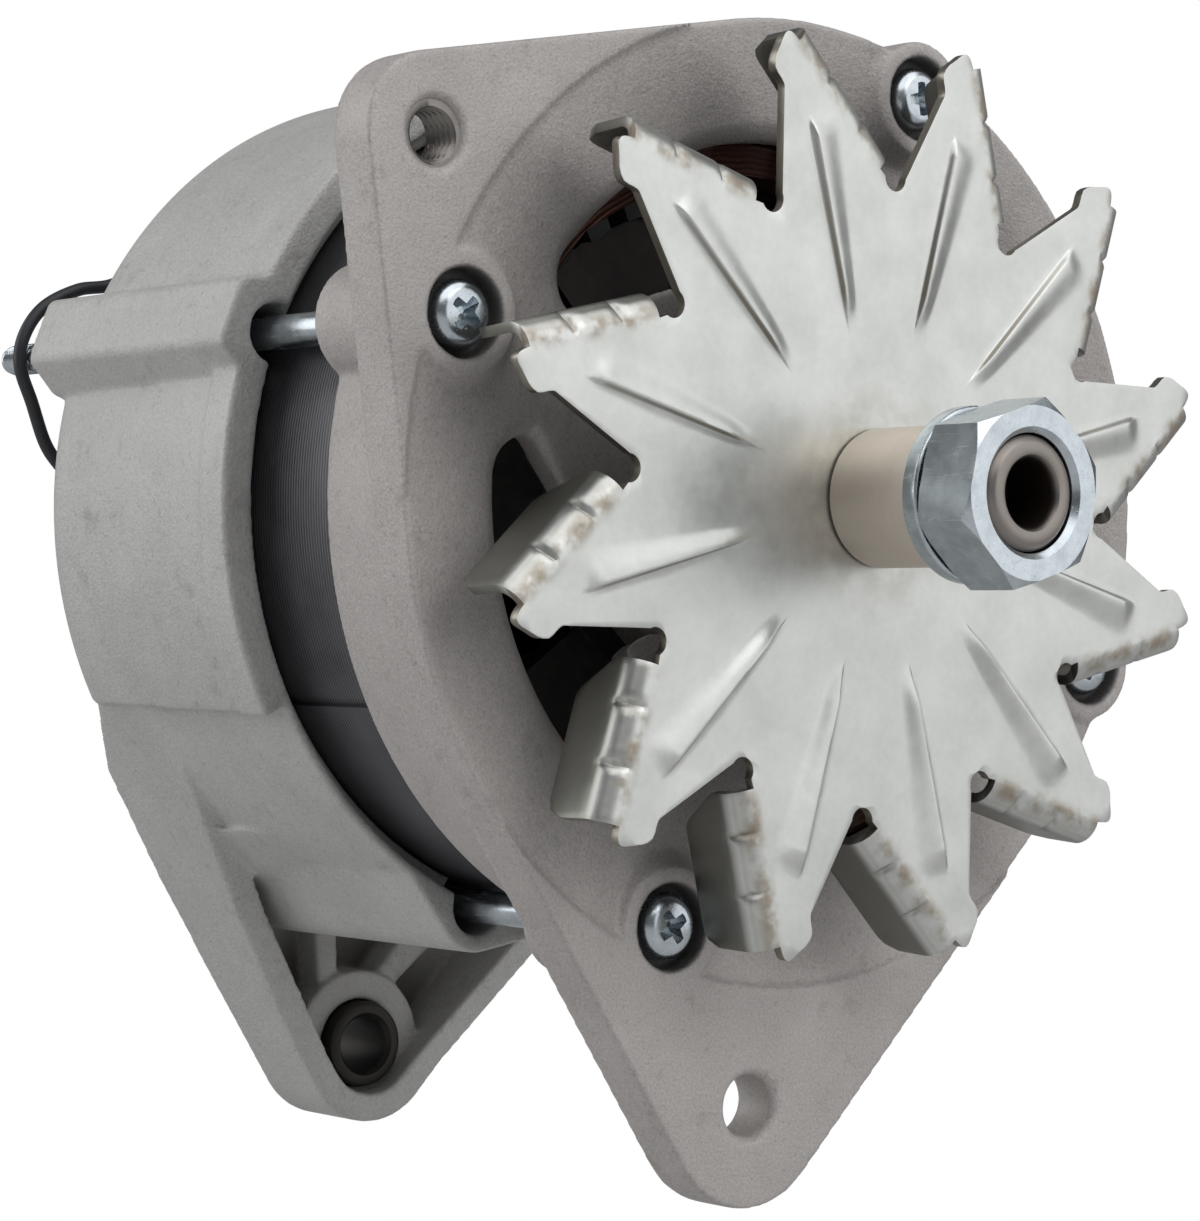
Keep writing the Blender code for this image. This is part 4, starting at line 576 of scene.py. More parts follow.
# %% [markdown]
# ## The drive-end bracket
# One die casting carries the front bearing, the adjusting ear at top left and the front pivot foot. Its
# outline is a belt round three circles. A shallow dish is turned in the face and steps up where ear and foot
# run out of it; four bolt pads and four air windows interrupt the dish, and a plain cup behind grips the
# stator. Die-cast corners are soft, so the finished skin is relaxed a little.

# %% Drive-end bracket
GAP = 0.3
BODY, FOOT, EAR = 70.7, 14.8, (*at(150.0, 82.0), 11.3)
PLATE = 8.4
CUP_REAR, CUP, STATOR = 24.3, 67.6, 62.5
DISH, DISH_EDGE, DISH_DEPTH = 71.2, 0.6, 3.0
PAD = 8.7
WINDOW_INNER, WINDOW_OUTER, WINDOW_CORNER, SPOKE = 30.5, 53.0, 6.0, 17.0
HEAD_SEAT, HEAD_RECESS = 3.6, 6.2
BOLT_HOLE, PIVOT_HOLE = 2.8, 4.5
STATOR_LIP, STATOR_SEAT = 1.9, 19.7
HUB, HUB_REAR = 28.0, 18.5
BEARING_SEAT, BEARING_FRONT, SHAFT_HOLE = 20.3, 6.2, 14.0
SOFT = 0.42


def each_bolt(profile, steps=48):
    """The same turned shape at each of the four long bolts."""
    mesh = bmesh.new()
    for centre in BOLTS:
        turn(profile, steps, centre, mesh)
    return mesh


def dish_tool():
    """The shallow dish turned in the face."""
    return turn([(0.0, -2.0), (DISH, -2.0), (DISH, DISH_EDGE), (WINDOW_OUTER + 1.0, DISH_DEPTH),
                 (0.0, DISH_DEPTH)])


def window_tool():
    """Four air windows between the bolts, flared at the front."""
    mesh = bmesh.new()
    mean = (WINDOW_INNER + WINDOW_OUTER) / 2
    half = math.degrees(SPOKE / 2 / mean)
    for angle in BOLT_ANGLES:
        sections = []
        for y, spread in ((-3.0, 2.4), (2.9, 2.4), (3.5, 1.2), (4.9, 0.0), (PLATE + 1.0, 0.0)):
            more = math.degrees(spread / mean)
            outline = rounded_sector(WINDOW_INNER - spread, WINDOW_OUTER + spread, angle + half - more,
                                     angle + 90.0 - half + more, WINDOW_CORNER + spread)
            sections.append([(x, y, z) for x, z in outline])
        skin(sections, mesh)
    return mesh


def dish_round_pads():
    """The dish's cutter with the four bolt pads kept out of it."""
    pads = each_bolt([(0.0, -4.0), (PAD, -4.0), (PAD, 0.2), (PAD + DISH_DEPTH, DISH_DEPTH + 1.0),
                      (0.0, DISH_DEPTH + 1.0)])
    return as_mesh("dish_cutter", dish_tool(), [(CUT, pads)])


print("front dish:", DISH_DEPTH, "mm deep; windows:", WINDOW_OUTER - WINDOW_INNER, "mm high")

# %% [markdown]
# ## The front casting put together
# A foundry makes this in one pour; here it is a short list of adding and cutting. The plate comes first, and
# the cup and the bolt pads are added. The cup is hollowed before the bearing's hub is added, because the hub
# stands inside it; the dish, windows and holes are cut last. One grid then rounds every corner at once.

# %% Front bracket
cup = turn([(0.0, 1.0), (CUP + 2.2, 1.0), (CUP + 2.2, PLATE), (CUP, CUP_REAR), (0.0, CUP_REAR)])
hollow = turn([(0.0, PLATE), (STATOR - STATOR_LIP, PLATE), (STATOR - STATOR_LIP, STATOR_SEAT),
               (STATOR + GAP, STATOR_SEAT), (STATOR + GAP, CUP_REAR + 1.0), (0.0, CUP_REAR + 1.0)])
pocket = turn([(0.0, -2.0), (SHAFT_HOLE, -2.0), (SHAFT_HOLE, BEARING_FRONT), (BEARING_SEAT, BEARING_FRONT),
               (BEARING_SEAT, 20.0), (0.0, 20.0)])
heads = each_bolt([(0.0, -4.0), (HEAD_RECESS, -4.0), (HEAD_RECESS, HEAD_SEAT), (BOLT_HOLE, HEAD_SEAT),
                   (BOLT_HOLE, CUP_REAR + 1.0), (0.0, CUP_REAR + 1.0)])
eye_profile = [(0.0, -3.0), (PIVOT_HOLE + 0.9, -3.0), (PIVOT_HOLE + 0.9, 0.0), (PIVOT_HOLE, 0.9),
               (PIVOT_HOLE, PLATE - 0.6), (PIVOT_HOLE + 1.2, PLATE + 3.0), (0.0, PLATE + 3.0)]
eyes = bmesh.new()
for centre in (PIVOT, EAR[:2]):
    turn(eye_profile, 64, centre, eyes)
front_bracket = carve(
    "front_bracket_casting", belt([(0.0, 0.0, BODY), (*PIVOT, FOOT), EAR], 0.0, PLATE),
    [(ADD, cup), (ADD, each_bolt([(0.0, 0.02), (PAD, 0.02), (PAD, CUP_REAR), (0.0, CUP_REAR)])),
     (CUT, hollow), (ADD, rod(HUB, 1.0, HUB_REAR)), (CUT, dish_round_pads()), (CUT, window_tool()),
     (CUT, pocket), (CUT, heads), (CUT, eyes)], CAST_FRONT, SOFT)
stand_for(front_bracket, "drive_end_bracket", "housing")

# %% [markdown]
# ## The slip-ring-end bracket
# The rear casting is a deep drum closed by an end wall. A raised lip grips the stator, three trapezoid
# ridges carry the long bolts in U-shaped passages, and underneath the wall drops back to a narrower saddle
# that flows into a hollow triangular foot with a bushed boss and two webs.

# %% Slip-ring-end bracket
RIM_FRONT, RIM_LENGTH, RIM = 46.0, 6.6, 70.7
DRUM_END, DRUM_REAR, CORNER = 68.7, 101.3, 5.5
SADDLE, SADDLE_FROM, SADDLE_TO = 67.0, -147.0, -33.0
RIDGE, RIDGE_HALF, PASSAGE = 74.6, 8.3, 4.5
FOOT_FRONT, REAR_FOOT, FOOT_WALL = 94.6, 12.6, 4.6
END_WALL, BOSS = 4.2, 12.1
VENTS = (-58.0, -34.0, -10.0, 14.0, 38.0)
VENT_START, VENT_END = (31.5, 4.5), (52.5, 3.5)
POSTS, POST, POST_CIRCLE = (-22.0, 26.0), 3.2, 46.0
REAR_HUB, REAR_SEAT = 20.3, 16.3
SMALL_SCREW = 1.9
SMALL_SCREWS = ((-33.0, 6.0), (-19.0, 28.2), (19.0, 28.2))


def foot_belt(inset, front, rear):
    """The rear foot's triangle, tangent to the saddle on both sides."""
    tangent = math.degrees(math.acos((SADDLE - REAR_FOOT) / SHAFT)) + 1.0
    circles = [(*PIVOT, REAR_FOOT - inset)]
    for side in (-tangent, tangent):
        circles.append((*at(side - 90.0, SADDLE - 6.0), 6.0 - inset))
    return belt(circles, front, rear, 96)


def arc_row(middle, radius, first, last, steps=8):
    """Points along an arc about a middle."""
    turns = [math.radians(first + (last - first) * step / steps) for step in range(steps + 1)]
    return [(middle[0] + radius * math.cos(t), middle[1] + radius * math.sin(t)) for t in turns]


def drum_blank():
    """The rear drum with its raised rim, still solid."""
    corner = arc_row((DRUM_END - CORNER, DRUM_REAR - CORNER), CORNER, 0.0, 90.0)
    return turn([(0.0, RIM_FRONT), (RIM, RIM_FRONT), (RIM, RIM_FRONT + RIM_LENGTH),
                 (69.6, RIM_FRONT + RIM_LENGTH + 1.0)] + corner + [(0.0, DRUM_REAR)], 180)


def ridges():
    """Three trapezoid ridges that carry the upper long bolts."""
    mesh = bmesh.new()
    side = [(RIDGE, 4.3), (RIDGE - 0.5, 5.4), (68.5, RIDGE_HALF), (56.0, RIDGE_HALF)]
    outline = [(reach, -half) for reach, half in reversed(side)] + side
    for angle in BOLT_ANGLES[:3]:
        prism(turned(outline, angle), RIM_FRONT, DRUM_REAR, mesh)
    return mesh


def saddle_relief():
    """What is cut away under the drum, down to the saddle."""
    outline = [at(SADDLE_FROM + (SADDLE_TO - SADDLE_FROM) * step / 60, SADDLE) for step in range(61)]
    outline += [at(SADDLE_TO, 100.0), (0.0, -160.0), at(SADDLE_FROM, 100.0)]
    return prism(outline, RIM_FRONT - 1.0, DRUM_REAR - 0.8)


def foot_blank():
    """The hollow triangular foot, and the cuts that slope its front and back."""
    high, crease, knee, low = (-share * SHAFT for share in (0.44, 0.6, 0.77, 1.02))
    deep = FOOT_FRONT - 21.0
    face = side_prism([(deep, high), (FOOT_FRONT - 14.0, high), (FOOT_FRONT - 9.3, crease),
                       (FOOT_FRONT - 4.1, knee), (FOOT_FRONT, low), (FOOT_FRONT, low - 40.0),
                       (deep, low - 40.0)], -90.0, 90.0)
    shoulder = side_prism([(FOOT_BACK + 1.0, high + 12.0), (DRUM_REAR, high + 12.0), (DRUM_REAR, high),
                           (FOOT_BACK - 2.8, crease + 6.0), (FOOT_BACK - 0.7, knee + 6.0),
                           (FOOT_BACK, low + 10.0), (FOOT_BACK + 1.0, low + 10.0)], -90.0, 90.0)
    pocket = foot_belt(FOOT_WALL, deep, FOOT_BACK - 5.0)
    return foot_belt(0.0, FOOT_FRONT - 20.0, FOOT_BACK), [(CUT, face), (CUT, shoulder), (CUT, pocket)]


def saddle_skin():
    """The drafted wall that flows from the drum into the foot."""
    high = -0.44 * SHAFT - 16.0
    blank = turn([(0.0, RIM_FRONT + 16.0), (SADDLE - 1.0, RIM_FRONT + 16.0), (SADDLE + 2.3, FOOT_FRONT),
                  (SADDLE + 2.3, FOOT_BACK - 0.5), (0.0, FOOT_BACK - 0.5)])
    return blank, [(KEEP, foot_belt(1.0, RIM_FRONT + 15.0, FOOT_BACK)),
                   (KEEP, block((-60.0, RIM_FRONT + 10.0, -140.0), (60.0, FOOT_BACK + 1.0, high)))]


print("rear foot: wall", FOOT_WALL, "mm, back face at", FOOT_BACK, "mm")

# %% [markdown]
# ## The rear casting put together
# The order matters here too. The saddle is cut out of the drum first, the ridges, boss, cap and foot are
# added to it, and the cavity is cut through all of them. The bearing's hub and the rectifier's posts stand
# inside that cavity, so they come after it. The bearing's seat, the holes and the vents are cut last.

# %% Rear bracket
webs = bmesh.new()
for left, right, lean, spread in ((-8.3, -4.2, -2.4, 0.7), (1.0, 6.3, 9.2, 3.5)):
    root, top = -SHAFT + 9.1, -67.0
    prism([(left, root), (right, root), (right + lean + spread, top), (left + lean, top)], 100.0,
          FOOT_BACK - 1.0, webs)
low_boss = belt([(*BOLTS[3], PASSAGE + 2.6), (*at(BOLT_ANGLES[3] - 13.0, SADDLE - 3.5), 3.0),
                 (*at(BOLT_ANGLES[3] + 13.0, SADDLE - 3.5), 3.0)], RIM_FRONT, FOOT_FRONT + 3.0, 64)
floor_y = DRUM_REAR - END_WALL
cavity = turn([(0.0, RIM_FRONT - 1.0), (65.4, RIM_FRONT - 1.0), (65.4, 49.5), (62.8, 50.5), (62.8, 56.3),
               (60.4, 56.3), (60.4, 59.0), (64.4, 60.5), (64.4, floor_y), (0.0, floor_y)])
holes = each_bolt([(0.0, RIM_FRONT - 1.0), (PASSAGE, RIM_FRONT - 1.0), (PASSAGE, floor_y),
                   (BOLT_HOLE, floor_y), (BOLT_HOLE, FOOT_BACK + 1.0), (0.0, FOOT_BACK + 1.0)])
STUD = middle_of("output_stud").x, middle_of("output_stud").z - SHAFT
wall_front = floor_y - 1.0
for centre, radius, front in ((PIVOT, 7.3, 98.0), (STUD, 5.0, wall_front)):
    rod(radius, front, FOOT_BACK + 1.0, centre, 48, holes)
for centre in SMALL_SCREWS:
    rod(SMALL_SCREW, wall_front, FOOT_BACK + 1.0, centre, 48, holes)
slots = bmesh.new()
for angle in VENTS:
    outline = arc_row((VENT_START[0], 0.0), VENT_START[1], 270.0, 90.0)
    outline += arc_row((VENT_END[0], 0.0), VENT_END[1], 75.0, -75.0)
    prism(turned(outline, angle), wall_front, DRUM_REAR + 1.0, slots)
block((-10.6, wall_front, 21.8), (10.6, DRUM_REAR + 1.0, 34.6), slots)
posts = bmesh.new()
for angle in POSTS:
    rod(POST, 94.8, floor_y + 1.0, at(angle, POST_CIRCLE), 24, posts)
hub = rod(REAR_HUB, 86.5, floor_y + 1.0)
cap = turn([(0.0, DRUM_REAR - 1.0), (22.0, DRUM_REAR - 1.0), (20.4, 104.2), (19.6, 104.7), (0.0, 104.7)])
rear_bracket = carve(
    "rear_bracket_casting", drum_blank(),
    [(CUT, saddle_relief()), (ADD, ridges()), (ADD, low_boss), (ADD, cap),
     (ADD, as_mesh("foot", *foot_blank())), (ADD, as_mesh("saddle", *saddle_skin())),
     (ADD, rod(BOSS, BOSS_FACE, FOOT_BACK, PIVOT)), (ADD, webs), (CUT, cavity), (ADD, hub), (ADD, posts),
     (CUT, rod(REAR_SEAT, 85.5, 98.3)), (CUT, holes),
     (CUT, rod(6.0, DRUM_REAR, FOOT_BACK + 1.0, BOLTS[3], 48)), (CUT, slots)], CAST_REAR, SOFT)
stand_for(rear_bracket, "slip_ring_end_bracket", "housing")

# %% [markdown]
# ## The pressed fan
# Twelve blades are cut from one disc of 1.5 mm sheet. Each has a long pressed rib that starts narrow at the
# hub, and one edge folded back to throw the air outward. The sheet is laid out as rows across each blade,
# from the bore to the tip, lifted at the rib and carried round the fold; solidifying it gives the thickness.

# %% Fan
SHEET = 1.5
ROOT_LEAD = PITCH - ROOT_TRAIL
NOTCH_CENTRE, NOTCH = 46.2, 2.0
RIB_START, RIB_END, RIB_HEIGHT = 25.8, 55.0, 0.9
BEND, WALL, TIP_ROUND = 3.6, 12.5, 3.0
FOLD_OUT = (FOLD_WAY[1], -FOLD_WAY[0])
FOLD_LENGTH = 22.8
FREE_EDGE = [(46.5, 7.6), (60.2, 3.9), (61.2, 4.3), (62.6, 5.1), (64.2, 4.7), (66.0, 3.1)]
DARTS = (6.2, 14.8)
HUB_ROWS = (8.8, 9.2, 10.5, 13.0, 16.0, 19.0, 22.0, 24.2, 25.4, 26.4, 27.6, 29.0, 30.6, 32.4, 34.2, 36.0,
            38.0, 39.6, 41.0)


def ease(value, low, high):
    """Rises smoothly from 0 at low to 1 at high."""
    share = min(max((value - low) / (high - low), 0.0), 1.0)
    return share * share * (3.0 - 2.0 * share)


def rib_half(u):
    """Half the width of the rib, which grows outward."""
    return 1.0 + 1.5 * min(max((u - RIB_START) / (RIB_END - RIB_START), 0.0), 1.0)


def rib_lift(u, v):
    """A lopsided ridge: a long gentle flank up to its crest, then a steep one that reads as a crease."""
    half = rib_half(u)
    across = ease(v, -2.3 * half, 0.0) if v < 0.0 else 1.0 - ease(v, 0.0, 0.35 * half)
    rising = ease(u, RIB_START - 1.5, RIB_START + 5.0)
    return RIB_HEIGHT * across * rising * (1.0 - ease(u, RIB_END - 3.0, RIB_END + 0.6))


def along(line, share):
    """The point at a share of a polyline's length."""
    lengths = [math.dist(a, b) for a, b in zip(line, line[1:])]
    left = share * sum(lengths)
    for a, b, length in zip(line, line[1:], lengths):
        if left <= length:
            return a[0] + (b[0] - a[0]) * left / length, a[1] + (b[1] - a[1]) * left / length
        left -= length
    return line[-1]


def across_row(left, right, half):
    """One row's points: even outside the rib, closer together on it."""
    foot, heel = max(-2.3 * half, 0.8 * left), 0.35 * half
    marks = [left + (foot - left) * step / 5 for step in range(5)]
    marks += [foot * (1.0 - step / 10) for step in range(10)]
    marks += [heel * step / 7 for step in range(8)]
    marks += [heel + (right - heel) * step / 6 for step in range(1, 7)]
    return marks


print("fan: one blade every", PITCH, "degrees, rib", RIB_HEIGHT, "mm high")


# %% [markdown]
# ## Rows across one blade
# Three stretches follow each other: arcs round the hub, a round notch between two blades, and the blade
# itself along its fold. Every row has the same number of points, so neighbours join into even strips, and
# the points crowd together on the rib, where the sheet bends most.

# %% A blade's rows
def sheet_rows():
    """Rows of (u, v) over one blade, then the fold's start with the distance along it."""
    rows, folds = [], []
    for radius in HUB_ROWS:
        low, high = (math.radians(angle) * radius for angle in (ROOT_LEAD - PITCH, ROOT_LEAD))
        arcs = across_row(low, high, rib_half(radius))
        rows.append([at(math.degrees(arc / radius), radius) for arc in arcs])
    right_hub, left_hub = at(ROOT_LEAD, NOTCH_CENTRE), at(ROOT_LEAD - PITCH, NOTCH_CENTRE)
    for step in range(7):
        swing = -90.0 + 90.0 * step / 6
        dx, dy = at(ROOT_LEAD + swing - 90.0, NOTCH)
        ex, ey = at(ROOT_LEAD - PITCH + 180.0 - (swing + 90.0), NOTCH)
        right = (right_hub[0] + dx, right_hub[1] + dy)
        left = (left_hub[0] + ex, left_hub[1] + ey)
        rows.append(straight_row(left, right))
    marks = [dart + off for dart in DARTS for off in (-0.9, -0.4, 0.0, 0.4, 0.9)]
    even = [FOLD_LENGTH * step / 22 for step in range(23)]
    marks += [distance for distance in even if min(abs(distance - mark) for mark in marks) > 0.45]
    shares = [mark / FOLD_LENGTH for mark in sorted(marks)]
    for share in shares:
        distance = share * FOLD_LENGTH
        left = (FOLD_START[0] + FOLD_WAY[0] * distance, FOLD_START[1] + FOLD_WAY[1] * distance)
        row = straight_row(left, along(FREE_EDGE, share))
        if share == 1.0:
            last = len(row) - 1
            row = [(u + 1.5 * math.sin(math.pi * step / last), v) for step, (u, v) in enumerate(row)]
        rows.append(row)
        folds.append((left, distance))
    return rows, folds


def straight_row(left, right):
    """One row across a blade between its two edges."""
    width = right[1] - left[1]
    half = min(rib_half(left[0]), 0.32 * width, 0.9 * right[1], -0.38 * left[1])
    marks = across_row(left[1], right[1], max(half, 0.2))
    if left[0] > RIB_END + 2.0:
        marks = [left[1] + width * step / (len(marks) - 1) for step in range(len(marks))]
    return [(left[0] + (right[0] - left[0]) * (v - left[1]) / width, v) for v in marks]


print("blade rows start at radius", HUB_ROWS[0], "mm")


# %% [markdown]
# ## The fold
# A press brake bends the edge round a radius and leaves a sloping wall, and small darts stiffen the bend.
# Each row's fold is drawn as a quarter of a circle that the darts push in a little, then straight down.

# %% Fold and darts
def dart_depth(distance, round_share):
    """How far the small pressed darts sink into the fold."""
    sink = sum(math.exp(-((distance - dart) / 0.45) ** 2) for dart in DARTS)
    return 0.7 * sink * math.sin(math.pi * min(max(round_share, 0.0), 1.0))


def fold_row(left, distance):
    """From the sheet round the bend and down the wall, as (u, v, depth)."""
    points = []
    for step in range(9):
        swing = math.radians(90.0 * step / 8)
        reach = BEND * math.sin(swing) - 0.7 * dart_depth(distance, step / 8)
        drop = BEND * (1 - math.cos(swing)) + 0.7 * dart_depth(distance, step / 8)
        points.append((left[0] + FOLD_OUT[0] * reach, left[1] + FOLD_OUT[1] * reach, drop))
    slant = 5.2 + 1.55 * distance
    rounding = FOLD_LENGTH - distance
    gone = TIP_ROUND - math.sqrt(max(TIP_ROUND ** 2 - (TIP_ROUND - rounding) ** 2, 0.0))
    tip = WALL - (gone if rounding < TIP_ROUND else 0.0)
    deep = min(slant, tip)
    lean = BEND - 0.07 * (deep - BEND)
    for step in range(1, 7):
        share = step / 6
        out = BEND + (lean - BEND) * share
        down = BEND + (deep - BEND) * share
        points.append((left[0] + FOLD_OUT[0] * out, left[1] + FOLD_OUT[1] * out, down))
    return points


print("fold: bend", BEND, "mm, wall up to", WALL, "mm deep")


# %% [markdown]
# ## Twelve blades and a thickness
# One blade's rows are turned into twelve places and welded at their shared edges. A Solidify modifier gives
# the sheet its thickness away from its face, and a fine bevel rounds the sheared edges.

# %% Fan sheet
def fan_sheet():
    """All twelve blades as one sheet without thickness."""
    mesh = bmesh.new()
    rows, folds = sheet_rows()
    for blade in range(BLADES):
        rib = math.radians(FAN_FIRST_RIB - PITCH * blade)
        c, s = math.cos(rib), math.sin(rib)

        def put(u, v, depth):
            return mesh.verts.new((u * c - v * s, FAN_FACE + depth, u * s + v * c))

        sheet = [[put(u, v, -rib_lift(u, v)) for u, v in row] for row in rows]
        wall = [[put(*point) for point in fold_row(*fold)] for fold in folds]
        for table in (sheet, wall):
            for one, two in zip(table, table[1:]):
                for a in range(len(one) - 1):
                    mesh.faces.new((one[a], one[a + 1], two[a + 1], two[a]))
    bmesh.ops.remove_doubles(mesh, verts=mesh.verts, dist=0.004)
    return mesh


fan = place("fan_sheet", fan_sheet(), FAN_SHEET, 40.0)


def from_shaft(face):
    """The square of a face's distance from the shaft's axis."""
    return face.center.x ** 2 + (face.center.z - SHAFT * MM) ** 2


hub_face = min(fan.data.polygons, key=from_shaft)
if hub_face.normal.y > 0:
    fan.data.flip_normals()
thick = fan.modifiers.new("thickness", "SOLIDIFY")
thick.thickness, thick.offset, thick.use_even_offset = SHEET * MM, -1.0, False
sheared = fan.modifiers.new("sheared_edge", "BEVEL")
sheared.width, sheared.segments = 0.28 * MM, 2
sheared.limit_method, sheared.angle_limit = "ANGLE", math.radians(50.0)
settle(fan)
fan.data.shade_smooth()
fan.data.set_sharp_from_angle(angle=math.radians(38.0))
stand_for(fan, "fan", "rotor")
print("fan:", len(fan.data.polygons), "faces")

# %% [markdown]
# ## The shaft's nose
# A sleeve stands where the pulley will sit; a split spring washer and a chamfered hexagon nut clamp it. A
# nut is a hexagon kept inside a turned blank, which draws the curved chamfer on each corner by itself. The
# split washer is a coil of one turn, so its two ends don't quite meet.

# %% Sleeve
SLEEVE_FRONT = reach_of("pulley_spacer")[0]
NUT_FRONT, NUT_REAR = reach_of("shaft_nut")
WASHER_FRONT, WASHER_REAR = reach_of("spring_washer")
NOSE_END = reach_of("rotor_shaft")[0]
NUT_FLATS, NUT_TURN, NUT_BORE = 23.6, 83.1, 8.3
WASHER_RADIUS, WASHER_BORE = 12.4, 8.3
SOCKET, NOSE = 4.9, 8.0

sleeve = place("pulley_sleeve", turn(
    [(8.5, SLEEVE_FRONT), (9.6, SLEEVE_FRONT), (9.9, SLEEVE_FRONT + 0.1), (10.0, SLEEVE_FRONT + 0.4),
     (10.0, -17.4), (9.9, -17.1), (9.6, -17.0), (8.5, -17.0)]), SLEEVE_STEEL)
stand_for(sleeve, "pulley_spacer", "rotor")


print("sleeve from", round(SLEEVE_FRONT, 1), "mm")


# %% [markdown]
# ## The split washer
# A spring washer is a bar with rounded corners, coiled once and cut. Its section is carried round almost a
# full turn while it climbs a little, and a plain skin over those sections closes both cut ends.

# %% Washer
def split_washer():
    """A rounded section carried round one turn while it climbs by a little."""
    sections = []
    for step in range(121):
        angle = 98.0 + 352.0 * step / 120
        climb = 0.35 * (step / 120 - 0.5)
        section = []
        for corner in range(4):
            cr = WASHER_RADIUS - 0.5 if corner in (0, 1) else WASHER_BORE + 0.5
            cy = WASHER_REAR - 0.6 if corner in (0, 3) else WASHER_FRONT + 0.6
            for part in range(4):
                dx, dy = at(90.0 * ((0, 3, 2, 1)[corner]) + 90.0 - 30.0 * part, 0.5)
                x, z = at(angle, cr + dx)
                section.append((x, cy + dy * 0.8 + climb, z))
        sections.append(section)
    return skin(sections)


washer = place("split_washer", split_washer(), ZINC)
stand_for(washer, "spring_washer", "rotor")


print("washer from", round(WASHER_FRONT, 1), "to", round(WASHER_REAR, 1), "mm")


# %% [markdown]
# ## The nut
# The curved line on a nut's corners is where a cone meets six flats. Keeping only what the hexagon and a
# turned blank have in common draws that line by itself, with no curve to place by hand.

# %% Nut
def hexagon(flats, angle, centre=(0.0, 0.0)):
    """Six corners, by the distance between flats."""
    corners = [at(angle + 60.0 * corner, flats / math.sqrt(3)) for corner in range(6)]
    return [(centre[0] + x, centre[1] + z) for x, z in corners]


def chamfered_nut(name, flats, angle, bore, front, rear, centre, finish, chamfer=1.7):
    """A hexagon kept inside a turned blank, with a countersunk bore."""
    reach = flats / math.sqrt(3) + 0.1
    drop = chamfer * 0.55
    blank = turn([(bore, front + 0.8), (bore + 0.8, front), (reach - chamfer, front), (reach, front + drop),
                  (reach, rear - drop), (reach - chamfer, rear), (bore + 0.8, rear),
                  (bore, rear - 0.8)], 128, centre)
    made = carve(name, prism(hexagon(flats, angle, centre), front - 0.5, rear + 0.5), [(KEEP, blank)], finish)
    edge = made.modifiers.new("worn_edges", "BEVEL")
    edge.width, edge.segments, edge.limit_method = 0.22 * MM, 2, "ANGLE"
    edge.angle_limit, edge.harden_normals = math.radians(28.0), True
    return made


shaft_nut = chamfered_nut("nose_nut", NUT_FLATS, NUT_TURN, NUT_BORE, NUT_FRONT, NUT_REAR, (0.0, 0.0), ZINC)
stand_for(shaft_nut, "shaft_nut", "rotor")


print("nut across flats:", NUT_FLATS, "mm")


# %% [markdown]
# ## Threads and the shaft
# A thread is a tube whose radius rises and falls along a helix, and it fades out at both ends. The shaft is
# one turned profile from its nose, with the recess in its end, to its tail behind the rear bearing.

# %% Thread and shaft
def threaded(root, crest, pitch, front, rear, centre, steps=48, taper=1.2):
    """A screw thread: a tube whose radius rises and falls along a helix."""
    mesh = bmesh.new()
    rows = max(int((rear - front) / pitch * 8), 2)
    rings = []
    for row in range(rows + 1):
        y = front + (rear - front) * row / rows
        grown = min((rear - y) / taper, (y - front) / taper, 1.0)
        ring = []
        for step in range(steps):
            wave = (y / pitch - step / steps) % 1.0
            height = 1.0 - abs(2.0 * wave - 1.0)
            radius = root + (crest - root) * height * max(grown, 0.15)
            dx, dz = at(360.0 * step / steps, radius)
            ring.append(mesh.verts.new((centre[0] + dx, y, centre[1] + dz)))
        rings.append(ring)
    tube(mesh, rings)
    mesh.faces.new(rings[0])
    mesh.faces.new(rings[-1][::-1])
    return mesh


TAIL_END = reach_of("rotor_shaft")[1]
shaft = place("turned_shaft", turn(
    [(0.0, NOSE_END + 9.0), (SOCKET - 0.6, NOSE_END + 9.0), (SOCKET - 0.3, NOSE_END + 8.0),
     (SOCKET - 0.3, NOSE_END + 1.3), (SOCKET, NOSE_END + 0.7), (SOCKET + 0.4, NOSE_END + 0.1),
     (SOCKET + 0.7, NOSE_END), (NOSE - 1.1, NOSE_END), (NOSE - 0.6, NOSE_END + 0.25), (NOSE, NOSE_END + 1.0),
     (NOSE, -33.7), (8.2, -33.2), (8.2, 18.5), (10.0, 18.5), (10.0, 55.5), (NOSE, 55.5),
     (NOSE, TAIL_END - 9.8),
     (5.7, TAIL_END - 9.8), (5.7, TAIL_END - 0.5), (5.2, TAIL_END), (0.0, TAIL_END)]), SHAFT_STEEL)
stand_for(shaft, "rotor_shaft", "rotor")
print("nose stack:", [piece.name for piece in (sleeve, washer, shaft_nut, shaft)])

# %% [markdown]
# ## Long bolts
# Four M5 bolts run from pan heads in the front face to nuts on the rear wall. The head is a dome with a
# pressed cross whose arms narrow as they go down, and the bolts' rear ends are threaded.

# %% Long bolts


def cross(centre, face, angle):
    """A cross recess: four arms that get shorter and narrower downwards."""
    sections = []
    for y, reach, half in ((face - 1.0, 2.75, 0.8), (face + 0.9, 2.3, 0.66), (face + 2.3, 1.1, 0.45)):
        ring = []
        for arm in range(4):
            ux, uz = at(angle + 90.0 * arm, 1.0)
            for out, side in ((reach, -half), (reach + 0.12, 0.0), (reach, half), (half * 1.25, half * 1.25)):
                ring.append((centre[0] + out * ux - side * uz, y, centre[1] + out * uz + side * ux))
        sections.append(ring)
    return skin(sections)


CROSS_ANGLES = (57.0, 12.0, 75.0, 38.0)
HEAD_RADIUS, HEAD_ROUND = 4.85, 2.2
BOLT_NUT_FLATS = 8.0
THREAD_ROOT, THREAD_CREST, THREAD_PITCH, THREAD_LENGTH = 2.05, 2.5, 0.8, 12.0


